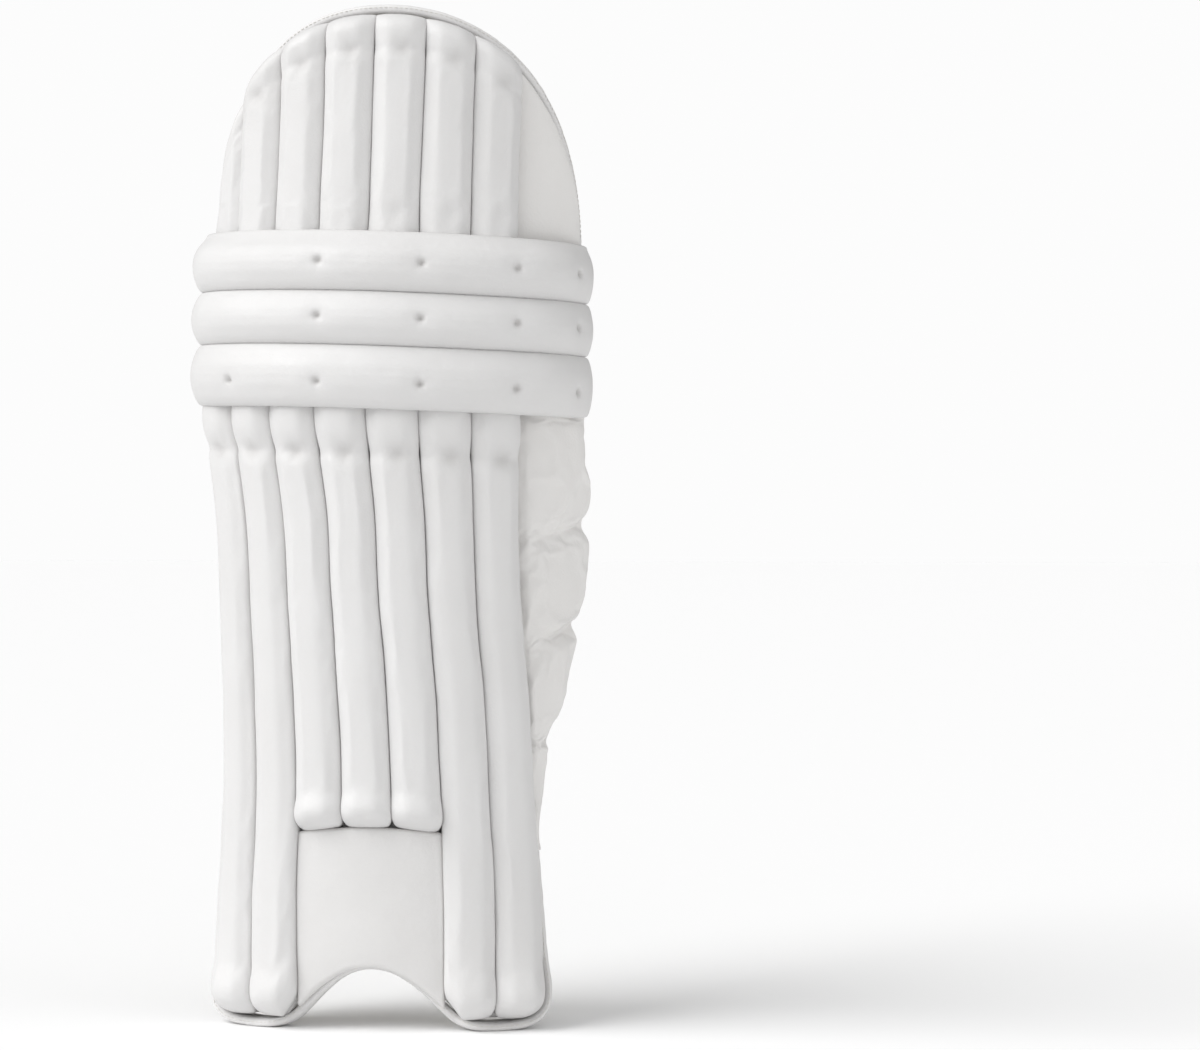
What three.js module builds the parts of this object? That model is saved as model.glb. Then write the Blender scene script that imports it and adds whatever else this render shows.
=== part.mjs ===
// A cricket batting pad: a leg guard of upright padded ribs on a curved backing, with three
// knee rolls, a domed top hat, a quilted side wing, bound edges and three straps behind.
// Millimetres, +Z up. The ribs face -Y, the leg stands behind them, and the pad rests on its two lobes.
//
// Every piece is first laid out flat, as it is cut, in three measures:
//   s  across the front, towards the wing
//   z  up
//   n  out from the backing's face
// and wrap() then bends it round the shin.
import * as THREE from "three";
import { mergeVertices } from "three/addons/utils/BufferGeometryUtils.js";

const { degToRad, lerp, smoothstep } = THREE.MathUtils;

// The whole pad and the form that it is bent to
const padHeight = 717;
const formRadius = 150; // of the backing's face in plan
const shinLean = 0.2; // degrees that the shin section leans back
const topHatLean = 6.5; // degrees that the top hat leans back
const kneeHeight = 490; // where the lean changes
const kneeSoftness = 60; // height over which it changes
const ankleHeight = 130; // below this the form opens round the ankle
const ankleOpening = 80; // added to the form's radius at the floor
const lineDrift = 14; // how far the ribs' lines wander sideways from knee to ankle

// Clearances
const seatGap = 0.6; // between a piece and what it is sewn to
const seamGap = 0.8; // between two pieces side by side

// Backing and its bound edge
const backingThickness = 10;
const bindingDepth = 7; // across the edge, in the backing's own plane
const bindingWidth = 13; // through the backing's thickness
const edgeMargin = 4; // from the outer ribs to the binding
const backingJoint = 455; // height where the shin section meets the top hat
const archWidth = 122; // the instep's arch, at the floor
const archHeight = 43;
const soleCornerWidth = 24;
const soleCornerHeight = 17;
const soleFlattening = 1.2; // how far the binding is pressed flat where it stands

// Ribs
const ribCount = 7;
const ribPitch = 34;
const ribHeight = 22;
const footLength = 34; // the swollen lower end
const collarLength = 44; // the swollen upper end, under the knee rolls
const footClearance = 2.5; // from the long ribs' feet down to the binding
const shortRibs = [3, 4, 5]; // these stop at the instep panel

// Instep panel
const panelTop = 136;
const panelThickness = 12;
const panelBrow = 4; // how far its top edge bows up

// Knee rolls
const rollBase = 436; // underside of the lowest roll at the inner end
const rollThickness = 36;
const rollInnerReach = 139; // from the middle to the inner end
const rollOuterReach = 170; // from the middle to the wing's end
const rollDrop = 9; // how much lower the wing's end lies
const lowerRollHeight = 43;
const middleRollHeight = 37.5;
const upperRollHeight = 39;
const tuftDepth = 5;
const tuftRadius = 9;

// Top hat
const domeRise = 176; // from the shoulders to the crown
const domeCrown = 11; // where the crown lies, from the middle of the ribs
const domeInnerReach = 144; // from the crown to the edge
const domeOuterReach = 163;
const domeInnerPower = 2.25; // 2 for an ellipse, more for squarer shoulders
const domeOuterPower = 2;
const firstRibShare = 0.8; // size of the top hat's first rib, beside its edge
const firstRibFlare = 7; // how far its lower end spreads towards that edge
const domeMargin = 2; // from the binding to the ribs' upper ends
const sidePanelThickness = 8;

// Side wing
const wingLow = 122;
const wingWidth = 85;
const wingPuff = 8;

// Straps
const strapThickness = 3;
const strapPatch = 44; // length sewn to the inside of each edge
const kneeStrapHeight = 392;
const calfStrapHeight = 262;
const ankleStrapHeight = 92;
const wideStrapWidth = 46;
const ankleStrapWidth = 36;
const strapBow = 120; // pull of the loop behind the leg
const strapTuck = 0.12; // how far the loop leans in, per unit of its pull
const strapMargin = 5; // from an edge to where the strap leaves it
const strapSteps = 32;

// How the form's lines wander and spread with height. up is a share of the pad's height,
// drift of the line drift, and spread of the rib pitch.
const formRows = [
  { up: 0, drift: 0.58, spread: 0.975 },
  { up: 0.123, drift: 0.47, spread: 0.975 },
  { up: 0.221, drift: 0.44, spread: 0.938 },
  { up: 0.319, drift: 0.25, spread: 0.925 },
  { up: 0.417, drift: -0.1, spread: 0.918 },
  { up: 0.496, drift: -0.32, spread: 0.93 },
  { up: 0.594, drift: -0.8, spread: 0.985 },
  { up: 0.7, drift: -0.88, spread: 0.98 },
  { up: 0.77, drift: -0.8, spread: 0.965 },
  { up: 1, drift: -0.7, spread: 0.965 },
];

// A rib's section from the crest round to the middle of its base: shares of half the width
// and of the height.
const ribSection = [
  { side: 0, rise: 1 },
  { side: 0.46, rise: 0.97 },
  { side: 0.82, rise: 0.76 },
  { side: 1, rise: 0.5 },
  { side: 0.96, rise: 0 },
  { side: 0, rise: 0 },
];

// A rib's lower end, from the tip up, in shares of the foot's length, the width and the height
const footRows = [
  { up: 0, wide: 0.66, high: 0.4 },
  { up: 0.13, wide: 0.9, high: 0.8 },
  { up: 0.4, wide: 1, high: 1.1 },
  { up: 0.75, wide: 0.97, high: 1.02 },
  { up: 1, wide: 0.93, high: 0.92 },
];

// A rib's upper end, from the shaft up to the tip: a pinch and then the collar
const collarRows = [
  { up: 0, wide: 0.93, high: 0.92 },
  { up: 0.2, wide: 0.9, high: 0.84 },
  { up: 0.38, wide: 0.98, high: 1.02 },
  { up: 0.8, wide: 1, high: 1.08 },
  { up: 1, wide: 0.96, high: 0.8 },
];

// A knee roll's section from the crest round to the middle of its base
const rollSection = [
  { side: 0, rise: 1 },
  { side: 0.45, rise: 0.95 },
  { side: 0.82, rise: 0.82 },
  { side: 1, rise: 0.58 },
  { side: 0.98, rise: 0.14 },
  { side: 0.8, rise: 0 },
  { side: 0, rise: 0 },
];

// A knee roll along its length, from the inner end to the wing's end
const rollRows = [
  { along: 0, tall: 0.6, thick: 0.32 },
  { along: 0.02, tall: 0.84, thick: 0.66 },
  { along: 0.06, tall: 0.96, thick: 0.9 },
  { along: 0.13, tall: 1, thick: 1 },
  { along: 0.8, tall: 1, thick: 1 },
  { along: 0.88, tall: 1, thick: 0.88 },
  { along: 0.95, tall: 0.96, thick: 0.62 },
  { along: 0.985, tall: 0.88, thick: 0.42 },
  { along: 1, tall: 0.7, thick: 0.24 },
];

// Where the tufting stitches pull the rolls in, in shares of their length
const tuftPlaces = [0.385, 0.577, 0.759, 0.911];
const lowerTuftPlaces = [0.19, ...tuftPlaces];

// The side wing from its top, tucked behind the lowest roll, down to its tail. Each row is a
// section across it: inner and outer are heights at the ribs and at the free edge, in shares
// of the wing's height, reach is a share of its width and puff of its padding.
const wingRows = [
  { inner: 1, outer: 1, reach: 0.8, puff: 0 },
  { inner: 0.93, outer: 0.925, reach: 0.79, puff: 0 },
  { inner: 0.895, outer: 0.885, reach: 0.79, puff: 0.4 },
  { inner: 0.83, outer: 0.83, reach: 0.84, puff: 0.85 },
  { inner: 0.76, outer: 0.775, reach: 0.91, puff: 1 },
  { inner: 0.69, outer: 0.73, reach: 0.935, puff: 0.85 },
  { inner: 0.65, outer: 0.69, reach: 0.84, puff: 0.2 },
  { inner: 0.61, outer: 0.65, reach: 0.935, puff: 0.75 },
  { inner: 0.56, outer: 0.6, reach: 0.9, puff: 1 },
  { inner: 0.49, outer: 0.54, reach: 0.83, puff: 0.95 },
  { inner: 0.445, outer: 0.505, reach: 0.75, puff: 0.7 },
  { inner: 0.415, outer: 0.478, reach: 0.655, puff: 0.2 },
  { inner: 0.385, outer: 0.445, reach: 0.69, puff: 0.7 },
  { inner: 0.335, outer: 0.375, reach: 0.585, puff: 0.95 },
  { inner: 0.28, outer: 0.31, reach: 0.45, puff: 0.85 },
  { inner: 0.245, outer: 0.255, reach: 0.29, puff: 0.5 },
  { inner: 0.225, outer: 0.23, reach: 0.235, puff: 0.2 },
  { inner: 0.2, outer: 0.205, reach: 0.24, puff: 0.45 },
  { inner: 0.12, outer: 0.12, reach: 0.165, puff: 0.5 },
  { inner: 0.05, outer: 0.05, reach: 0.1, puff: 0.45 },
  { inner: 0, outer: 0, reach: 0.09, puff: 0.3 },
];

const middleOf = (first, last) => (first + last) / 2;

// The value that a table gives at a place between its rows, on a smooth curve through them
function read(rows, key, value, place) {
  const last = rows.length - 1;
  let row = rows.findIndex((r, i) => i < last && place <= rows[i + 1][key]);
  if (row < 0) row = last - 1;
  const [a, b] = [rows[row], rows[row + 1]];
  const [before, after] = [rows[Math.max(row - 1, 0)], rows[Math.min(row + 2, last)]];
  const span = b[key] - a[key];
  const t = (place - a[key]) / span;
  const slopeA = ((b[value] - before[value]) / (b[key] - before[key])) * span;
  const slopeB = ((after[value] - a[value]) / (after[key] - a[key])) * span;
  return (
    (2 * t ** 3 - 3 * t ** 2 + 1) * a[value] +
    (t ** 3 - 2 * t ** 2 + t) * slopeA +
    (3 * t ** 2 - 2 * t ** 3) * b[value] +
    (t ** 3 - t ** 2) * slopeB
  );
}

// Sideways place at height z of a line that is s from the middle of the ribs
function line(s, z) {
  const up = z / padHeight;
  return s * read(formRows, "up", "spread", up) + lineDrift * read(formRows, "up", "drift", up);
}

// How far back the form's front lies at height z
function setBack(z) {
  const [shin, top] = [shinLean, topHatLean].map((lean) => Math.tan(degToRad(lean)));
  const past = z - kneeHeight;
  return z * shin + ((top - shin) * (past + Math.hypot(past, kneeSoftness))) / 2;
}

function radiusAt(z) {
  return formRadius + ankleOpening * Math.max(0, 1 - z / ankleHeight) ** 2;
}

// Bends a flat measure round the form
function wrap(s, z, n) {
  const radius = radiusAt(z);
  const angle = s / radius;
  return new THREE.Vector3(
    (radius + n) * Math.sin(angle),
    setBack(z) + radius - (radius + n) * Math.cos(angle),
    z,
  );
}

// Moves each vertex of a stock geometry by place(x, y, z), and closes it into one shell
function reshape(geometry, place) {
  const position = geometry.getAttribute("position");
  for (let i = 0; i < position.count; i += 1) {
    const moved = place(position.getX(i), position.getY(i), position.getZ(i));
    position.setXYZ(i, moved.x, moved.y, moved.z);
  }
  geometry.deleteAttribute("normal");
  geometry.deleteAttribute("uv");
  const closed = mergeVertices(geometry, 1e-4);
  closed.computeVertexNormals();
  return closed;
}

// A sheet of some thickness: across, up and out each run from -1 to 1
function sheet(acrossSteps, upSteps, outSteps, place) {
  return reshape(new THREE.BoxGeometry(2, 2, 2, acrossSteps, upSteps, outSteps), place);
}

// A padded bar of one section, lofted through stations. place(station, side, rise) takes the
// station's number and the section's point there; side runs from -1 to 1.
function bar(section, stations, place) {
  const half = section.length - 1;
  const ring = 2 * half;
  const stock = new THREE.CylinderGeometry(1, 1, 2, ring, stations - 1);
  return reshape(stock, (x, y, z) => {
    const station = Math.round(((y + 1) / 2) * (stations - 1));
    if (Math.hypot(x, z) < 0.5) return place(station, 0, 0.45);
    const step = (Math.round((Math.atan2(x, z) / (2 * Math.PI)) * ring) + ring) % ring;
    const point = section[step > half ? ring - step : step];
    return place(station, step > half ? -point.side : point.side, point.rise);
  });
}

const facing = new THREE.MeshStandardMaterial({ color: 0xe9e8e6, roughness: 0.55 });
const soft = new THREE.MeshStandardMaterial({ color: 0xe6e3df, roughness: 0.62 });
const lining = new THREE.MeshStandardMaterial({ color: 0xdedbd4, roughness: 0.9 });
const tape = new THREE.MeshStandardMaterial({ color: 0xefeeec, roughness: 0.6 });
const webbing = new THREE.MeshStandardMaterial({ color: 0xe4e2dd, roughness: 0.85 });

const pad = new THREE.Group();

function add(name, geometry, material) {
  const mesh = new THREE.Mesh(geometry, material);
  mesh.name = name;
  pad.add(mesh);
}

// The knee rolls: each one's underside and height at the inner end, and its tufts
const rolls = [
  {
    name: "knee_roll_lower",
    base: rollBase,
    height: lowerRollHeight,
    tufts: lowerTuftPlaces,
  },
  {
    name: "knee_roll_middle",
    base: rollBase + lowerRollHeight,
    height: middleRollHeight,
    tufts: tuftPlaces,
  },
  {
    name: "knee_roll_upper",
    base: rollBase + lowerRollHeight + middleRollHeight,
    height: upperRollHeight,
    tufts: tuftPlaces,
  },
];
const [lowerRoll, , upperRoll] = rolls;

// How much lower the rolls lie at s than at their inner end
function rollSag(s) {
  return rollDrop * smoothstep(s, -rollInnerReach, rollOuterReach);
}

const underRolls = (s) => lowerRoll.base - rollSag(s) - seamGap;
const overRolls = (s) => upperRoll.base + upperRoll.height - rollSag(s) + seamGap;

// The dome's edge, moved in from the outline by some distance
const domeBase = padHeight - domeRise;
const domeSide = (s) =>
  s < domeCrown
    ? { reach: domeInnerReach, power: domeInnerPower }
    : { reach: domeOuterReach, power: domeOuterPower };
function domeTop(s, inset) {
  const { reach, power } = domeSide(s);
  const share = Math.abs(s - domeCrown) / (reach - inset);
  return domeBase + (domeRise - inset) * Math.max(0, 1 - share ** power) ** (1 / power);
}

// The point of the dome's edge at a turn of 0 at the inner shoulder to PI at the outer one
function domeEdge(turn, inset) {
  const side = Math.sign(-Math.cos(turn));
  const { reach, power } = domeSide(domeCrown + side);
  const across = Math.abs(Math.cos(turn)) ** (2 / power);
  const up = Math.sin(turn) ** (2 / power);
  return new THREE.Vector2(
    domeCrown + side * (reach - inset) * across,
    domeBase + (domeRise - inset) * up,
  );
}

// The shin section's outline: half its width, and its lower edge at s, both moved in from the
// outline by some distance
const ribsHalfWidth = (ribCount * ribPitch) / 2;
const shinHalfWidth = ribsHalfWidth + edgeMargin + bindingDepth;
const corner = shinHalfWidth - soleCornerWidth;
function soleEdge(s) {
  const across = Math.abs(s);
  if (across < archWidth / 2) return archHeight * Math.cos((Math.PI * s) / archWidth);
  const round = Math.min(1, Math.max(0, across - corner) / soleCornerWidth);
  return soleCornerHeight * (1 - Math.sqrt(1 - round ** 2));
}

// Places across the sole where backing and binding have a vertex: corner, flat, half the arch
const cornerPlaces = [1, 0.97, 0.87, 0.64, 0.34, 0].map((share) => corner + soleCornerWidth * share);
const flatPlaces = [0.75, 0.5, 0.25, 0].map((share) => lerp(archWidth / 2, corner, share));
const archPlaces = [0.86, 0.71, 0.56, 0.42, 0.28, 0.14].map((share) => (archWidth / 2) * share);
const outerPlaces = [...cornerPlaces, ...flatPlaces, ...archPlaces];
const solePlaces = [...outerPlaces.map((s) => -s), 0, ...outerPlaces.toReversed()];

// Heights where both have a vertex up the sides
const backingRows = 15;
const backingTop = backingJoint - seatGap;
const sideHeights = Array.from({ length: backingRows + 1 }, (_, i) =>
  lerp(soleCornerHeight, backingTop, (i / backingRows) ** 1.25),
);

// The shin section's outline from high on the inner side, round the sole, to high on the wing's side
const shinOutline = [
  ...sideHeights.slice(1).reverse().map((z) => new THREE.Vector2(-shinHalfWidth, z)),
  ...solePlaces.map((s) => new THREE.Vector2(s, soleEdge(s))),
  ...sideHeights.slice(1).map((z) => new THREE.Vector2(shinHalfWidth, z)),
];

// A point of an outline moved square to it, into the piece
function movedIn(outline, i, inset) {
  const at = outline[i];
  const squares = [outline[i - 1] ?? at, at].map((from, k) => {
    const to = k === 0 ? at : (outline[i + 1] ?? at);
    const run = to.clone().sub(from);
    return new THREE.Vector2(-run.y, run.x).normalize();
  });
  const [first, second] = squares.map((square, k) => (square.length() > 0 ? square : squares[1 - k]));
  const reach = inset / (1 + first.dot(second));
  return at.clone().addScaledVector(first, reach).addScaledVector(second, reach);
}

function shinBacking() {
  const inset = bindingDepth + seatGap;
  const steps = solePlaces.length - 1;
  const geometry = sheet(steps, backingRows, 1, (across, up, out) => {
    const column = Math.round(((across + 1) / 2) * steps);
    const edge = movedIn(shinOutline, backingRows + column, inset);
    const row = Math.round(((up + 1) / 2) * backingRows);
    const share = (sideHeights[row] - soleCornerHeight) / (backingTop - soleCornerHeight);
    const z = lerp(edge.y, backingTop, share);
    return wrap(line(edge.x, z), z, out > 0 ? 0 : -backingThickness);
  });
  add("shin_backing", geometry, lining);
}

function topHatBacking() {
  const inset = bindingDepth + seatGap;
  const acrossSteps = 18;
  const upSteps = 9;
  const geometry = sheet(acrossSteps, upSteps, 1, (across, up, out) => {
    const edge = domeEdge(((across + 1) * Math.PI) / 2, inset);
    const z = lerp(backingJoint, edge.y, (up + 1) / 2);
    return wrap(edge.x, z, out > 0 ? 0 : -backingThickness);
  });
  add("top_hat_backing", geometry, lining);
}

// A bound edge: a flat oval tape along points of the flat outline. It is pressed flat where it
// would pass below the floor.
function binding(name, points, bend) {
  const sides = 8;
  const stock = new THREE.CylinderGeometry(1, 1, 2, sides, points.length - 1);
  const geometry = reshape(stock, (x, y, z) => {
    const i = Math.round(((y + 1) / 2) * (points.length - 1));
    const [before, after] = [points[Math.max(i - 1, 0)], points[Math.min(i + 1, points.length - 1)]];
    const along = after.clone().sub(before).normalize();
    const at = points[i];
    const s = at.x + (along.y * x * bindingDepth) / 2;
    const up = at.y - (along.x * x * bindingDepth) / 2;
    return bend(s, Math.max(0, up), -backingThickness / 2 + (z * bindingWidth) / 2);
  });
  add(name, geometry, tape);
}

// Down the inner side, round the lobes and the arch, and up to the wing's tail
function shinBinding() {
  const middle = bindingDepth / 2;
  const innerTop = underRolls(line(-shinHalfWidth, rollBase));
  const lastInner = backingRows - sideHeights.findLastIndex((z) => z < innerTop);
  const lastOuter = shinOutline.length - backingRows - 1 + sideHeights.findLastIndex((z) => z < wingLow);
  const points = [];
  for (let i = lastInner; i <= lastOuter; i += 1) {
    const flat = Math.abs(shinOutline[i].x) > archWidth / 2;
    points.push(movedIn(shinOutline, i, middle - (flat ? soleFlattening : 0)));
  }
  points.unshift(new THREE.Vector2(middle - shinHalfWidth, innerTop));
  points.push(new THREE.Vector2(shinHalfWidth - middle, wingLow - seamGap));
  binding("shin_binding", points, (s, z, n) => wrap(line(s, z), z, n));
}

// Over the dome, from the top roll at one side to the top roll at the other
function topHatBinding() {
  const middle = bindingDepth / 2;
  const domeSteps = 36;
  const [inner, outer] = [domeCrown - domeInnerReach, domeCrown + domeOuterReach].map((s) => {
    const up = (overRolls(s) - domeBase) / (domeRise - middle);
    return Math.asin(Math.max(0, up) ** (domeSide(s).power / 2));
  });
  const points = Array.from({ length: domeSteps + 1 }, (_, i) =>
    domeEdge(lerp(inner, Math.PI - outer, i / domeSteps), middle),
  );
  binding("top_hat_binding", points, wrap);
}

// One upright rib between two heights that depend on where it lies across the pad. A share
// under 1 makes it smaller, and a flare spreads its lower end towards the inner side.
function rib(name, number, low, high, lowerRows, lowerLength, shaftSteps, sizeShare = 1, flare = 0) {
  const pitch = ribPitch * sizeShare;
  const middle = (number - (ribCount + 1) / 2) * ribPitch + (ribPitch - pitch) / 2;
  const halfWidth = (pitch - seamGap) / 2;
  const shaft = [];
  for (let i = 1; i < shaftSteps; i += 1) shaft.push({ share: i / shaftSteps, ...lowerRows.at(-1) });
  const rows = [
    ...lowerRows.map((row) => ({ ...row, part: "lower" })),
    ...shaft.map((row) => ({ ...row, part: "shaft" })),
    ...collarRows.map((row) => ({ ...row, part: "upper" })),
  ];
  const geometry = bar(ribSection, rows.length, (station, side, rise) => {
    const row = rows[station];
    const spread = flare * (row.flare ?? 0) * Math.max(0, -side);
    const s = middle + side * row.wide * halfWidth - spread;
    const [bottom, top] = [low(s), high(s)];
    const [shaftLow, shaftHigh] = [bottom + lowerLength, top - collarLength];
    const z = {
      lower: bottom + row.up * lowerLength,
      shaft: lerp(shaftLow, shaftHigh, row.share),
      upper: shaftHigh + row.up * collarLength,
    }[row.part];
    return wrap(line(s, z), z, seatGap + rise * row.high * ribHeight * sizeShare);
  });
  add(name, geometry, facing);
}

function instepTop(s) {
  return panelTop + panelBrow * Math.cos((Math.PI * s) / (shortRibs.length * ribPitch));
}

function shinRibs() {
  const overBinding = (s) => soleEdge(s) + bindingDepth + footClearance;
  const overPanel = (s) => instepTop(s) + seamGap;
  const longShaftSteps = 6;
  const shortShaftSteps = 4;
  for (let number = 1; number <= ribCount; number += 1) {
    const short = shortRibs.includes(number);
    rib(
      `shin_rib_${number}`,
      number,
      short ? overPanel : overBinding,
      (s) => underRolls(line(s, rollBase)),
      footRows,
      footLength,
      short ? shortShaftSteps : longShaftSteps,
    );
  }
}

// The top hat's ribs start in a short collar on the upper roll, with no swollen foot
function topHatRibs() {
  const startRows = [
    { up: 0, wide: 1, high: 0.9, flare: 1 },
    { up: 0.6, wide: 1, high: 1.02, flare: 0.6 },
    { up: 1, wide: 0.94, high: 0.92, flare: 0.3 },
  ];
  const startLength = collarLength / 2;
  const shaftSteps = 2;
  const overRoll = (s) => overRolls(line(s, upperRoll.base + upperRoll.height));
  const inset = bindingDepth + domeMargin;
  for (let number = 1; number <= ribCount; number += 1) {
    const underDome = (s) => domeTop(line(s, padHeight - domeRise / 4), inset) - seamGap;
    const [share, flare] = number === 1 ? [firstRibShare, firstRibFlare] : [1, 0];
    rib(
      `top_hat_rib_${number}`,
      number,
      overRoll,
      underDome,
      startRows,
      startLength,
      shaftSteps,
      share,
      flare,
    );
  }
}

function kneeRolls() {
  const stations = 29;
  const reach = rollInnerReach + rollOuterReach;
  for (const roll of rolls) {
    const crest = roll.height / 2;
    const geometry = bar(rollSection, stations, (station, side, rise) => {
      const along = station / (stations - 1);
      const tall = read(rollRows, "along", "tall", along);
      const thick = read(rollRows, "along", "thick", along);
      const s = lerp(-rollInnerReach, rollOuterReach, along);
      const z = roll.base + crest - rollSag(s) - side * tall * (crest - seamGap / 2);
      const tufts = roll.tufts.map((place) => {
        const apart = Math.hypot((place - along) * reach, side * crest) / tuftRadius;
        return rise > 0 ? tuftDepth * Math.exp(-(apart ** 2)) : 0;
      });
      const pull = tufts.reduce((sum, depth) => sum + depth, 0);
      return wrap(s, z, seatGap + rise * thick * rollThickness - pull);
    });
    add(roll.name, geometry, facing);
  }
}

// A padded panel's rise across one of its spans, from 0 at both edges to 1 over the middle
const pillow = (share, sharpness) => (1 - Math.abs(2 * share - 1) ** sharpness) ** 0.5;

function instepPanel() {
  const half = (shortRibs.length * ribPitch - seamGap) / 2;
  const rim = 0.45; // the panel's edge, as a share of its thickness
  const geometry = sheet(12, 8, 1, (across, up, out) => {
    const s = across * half;
    const slope = (archHeight / archWidth) * Math.PI * Math.sin((Math.PI * s) / archWidth);
    const low = soleEdge(s) + (bindingDepth + seamGap) * Math.hypot(1, slope);
    const z = lerp(low, instepTop(s), (up + 1) / 2);
    const crown = pillow((across + 1) / 2, 6) * pillow((up + 1) / 2, 6);
    const front = seatGap + panelThickness * lerp(rim, 1, crown);
    return wrap(line(s, z), z, out > 0 ? front : seatGap);
  });
  add("instep_panel", geometry, soft);
}

function sideWing() {
  const acrossSteps = 6;
  const steps = wingRows.length - 1;
  const start = ribsHalfWidth + edgeMargin + seamGap;
  const top = backingJoint - seatGap;
  const edgeRound = 2; // how far the free edge bulges
  const geometry = sheet(acrossSteps, steps, 2, (across, up, out) => {
    const row = wingRows[Math.round(((1 - up) / 2) * steps)];
    const share = (across + 1) / 2;
    const z = lerp(wingLow, top, lerp(row.inner, row.outer, share));
    const bulge = out === 0 ? edgeRound * Math.max(0, across) ** 8 : 0;
    const s = start + share * row.reach * wingWidth + bulge;
    const front = wingPuff * row.puff * pillow(share, 4);
    return wrap(line(s, z), z, lerp(-backingThickness, front, (out + 1) / 2));
  });
  add("side_wing", geometry, soft);
}

// The smooth padded panel of the top hat beside its ribs
function topHatSidePanel() {
  const inset = bindingDepth + domeMargin;
  const rim = 0.4;
  const inner = ribsHalfWidth + seamGap;
  const geometry = sheet(6, 8, 1, (across, up, out) => {
    const share = (across + 1) / 2;
    const outer = domeCrown + domeOuterReach - inset;
    const low = (s) => overRolls(s);
    const high = (s) => Math.max(low(s) + 1, domeTop(s, inset));
    const flat = lerp(line(inner, upperRoll.base), outer, share ** 0.7);
    const z = lerp(low(flat), high(flat), (up + 1) / 2);
    const s = Math.max(flat, lerp(line(inner, z), outer, share ** 0.7));
    const crown = pillow(share, 4) * pillow((up + 1) / 2, 6);
    const front = seatGap + sidePanelThickness * lerp(rim, 1, crown);
    return wrap(s, z, out > 0 ? front : seatGap);
  });
  add("top_hat_side_panel", geometry, soft);
}

// A strap's middle line in plan at height z: sewn inside one edge, round behind the leg, and
// sewn inside the other edge
function strapLine(t, z, leftEdge, rightEdge, bow) {
  const n = -(backingThickness + seatGap + strapThickness / 2);
  const patchShare = 4 / strapSteps;
  const left = line(leftEdge, z) + strapMargin;
  const right = line(rightEdge, z) - strapMargin;
  if (t <= patchShare) return wrap(left + strapPatch * (1 - t / patchShare), z, n);
  if (t >= 1 - patchShare) return wrap(right - strapPatch * (1 - (1 - t) / patchShare), z, n);
  const [start, end] = [wrap(left, z, n), wrap(right, z, n)];
  const loop = new THREE.CubicBezierCurve3(
    start,
    start.clone().add(new THREE.Vector3(bow * strapTuck, bow, 0)),
    end.clone().add(new THREE.Vector3(-bow * strapTuck, bow, 0)),
    end,
  );
  return loop.getPoint((t - patchShare) / (1 - 2 * patchShare));
}

function strap(name, height, width, rightEdge, bow) {
  const leftEdge = -(ribsHalfWidth + edgeMargin);
  const nudge = 1e-3;
  const geometry = sheet(strapSteps, 1, 1, (across, up, out) => {
    const t = (across + 1) / 2;
    const z = height + (up * width) / 2;
    const at = strapLine(t, z, leftEdge, rightEdge, bow);
    const [before, after] = [Math.max(0, t - nudge), Math.min(1, t + nudge)];
    const along = strapLine(after, z, leftEdge, rightEdge, bow).sub(
      strapLine(before, z, leftEdge, rightEdge, bow),
    );
    along.setZ(0).normalize();
    const half = (out * strapThickness) / 2;
    return new THREE.Vector3(at.x + along.y * half, at.y - along.x * half, z);
  });
  add(name, geometry, webbing);
}

// How far the wing reaches past the ribs at height z
function wingReach(z) {
  const rows = wingRows.map((row) => ({ ...row })).reverse();
  const share = (z - wingLow) / (backingJoint - seatGap - wingLow);
  return wingWidth * read(rows, "outer", "reach", share);
}

function straps() {
  const onWing = (z) => ribsHalfWidth + edgeMargin + wingReach(z);
  strap("strap_knee", kneeStrapHeight, wideStrapWidth, onWing(kneeStrapHeight), strapBow);
  strap("strap_calf", calfStrapHeight, wideStrapWidth, onWing(calfStrapHeight), strapBow);
  strap("strap_ankle", ankleStrapHeight, ankleStrapWidth, ribsHalfWidth, strapBow * 0.75);
}

shinBacking();
topHatBacking();
shinBinding();
topHatBinding();
shinRibs();
topHatRibs();
kneeRolls();
instepPanel();
sideWing();
topHatSidePanel();
straps();

// The origin is under the middle of the pad, on the floor
const extent = new THREE.Box3().setFromObject(pad);
pad.position.set(
  -middleOf(extent.min.x, extent.max.x),
  -middleOf(extent.min.y, extent.max.y),
  -extent.min.z,
);

export default new THREE.Group().add(pad);
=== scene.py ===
"""Looks of a batting pad, a cricket leg guard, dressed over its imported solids.

Every piece is laid out flat, as it is cut, in millimetres: s across the front, z up, and n out
from the backing's face. ShinForm then bends it round the shin and gives metres in the frame.
"""

import logging
import math
from dataclasses import dataclass, field
from enum import Enum
from typing import Callable, Iterable, Sequence

import bmesh
import bpy
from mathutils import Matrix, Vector, noise

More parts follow.
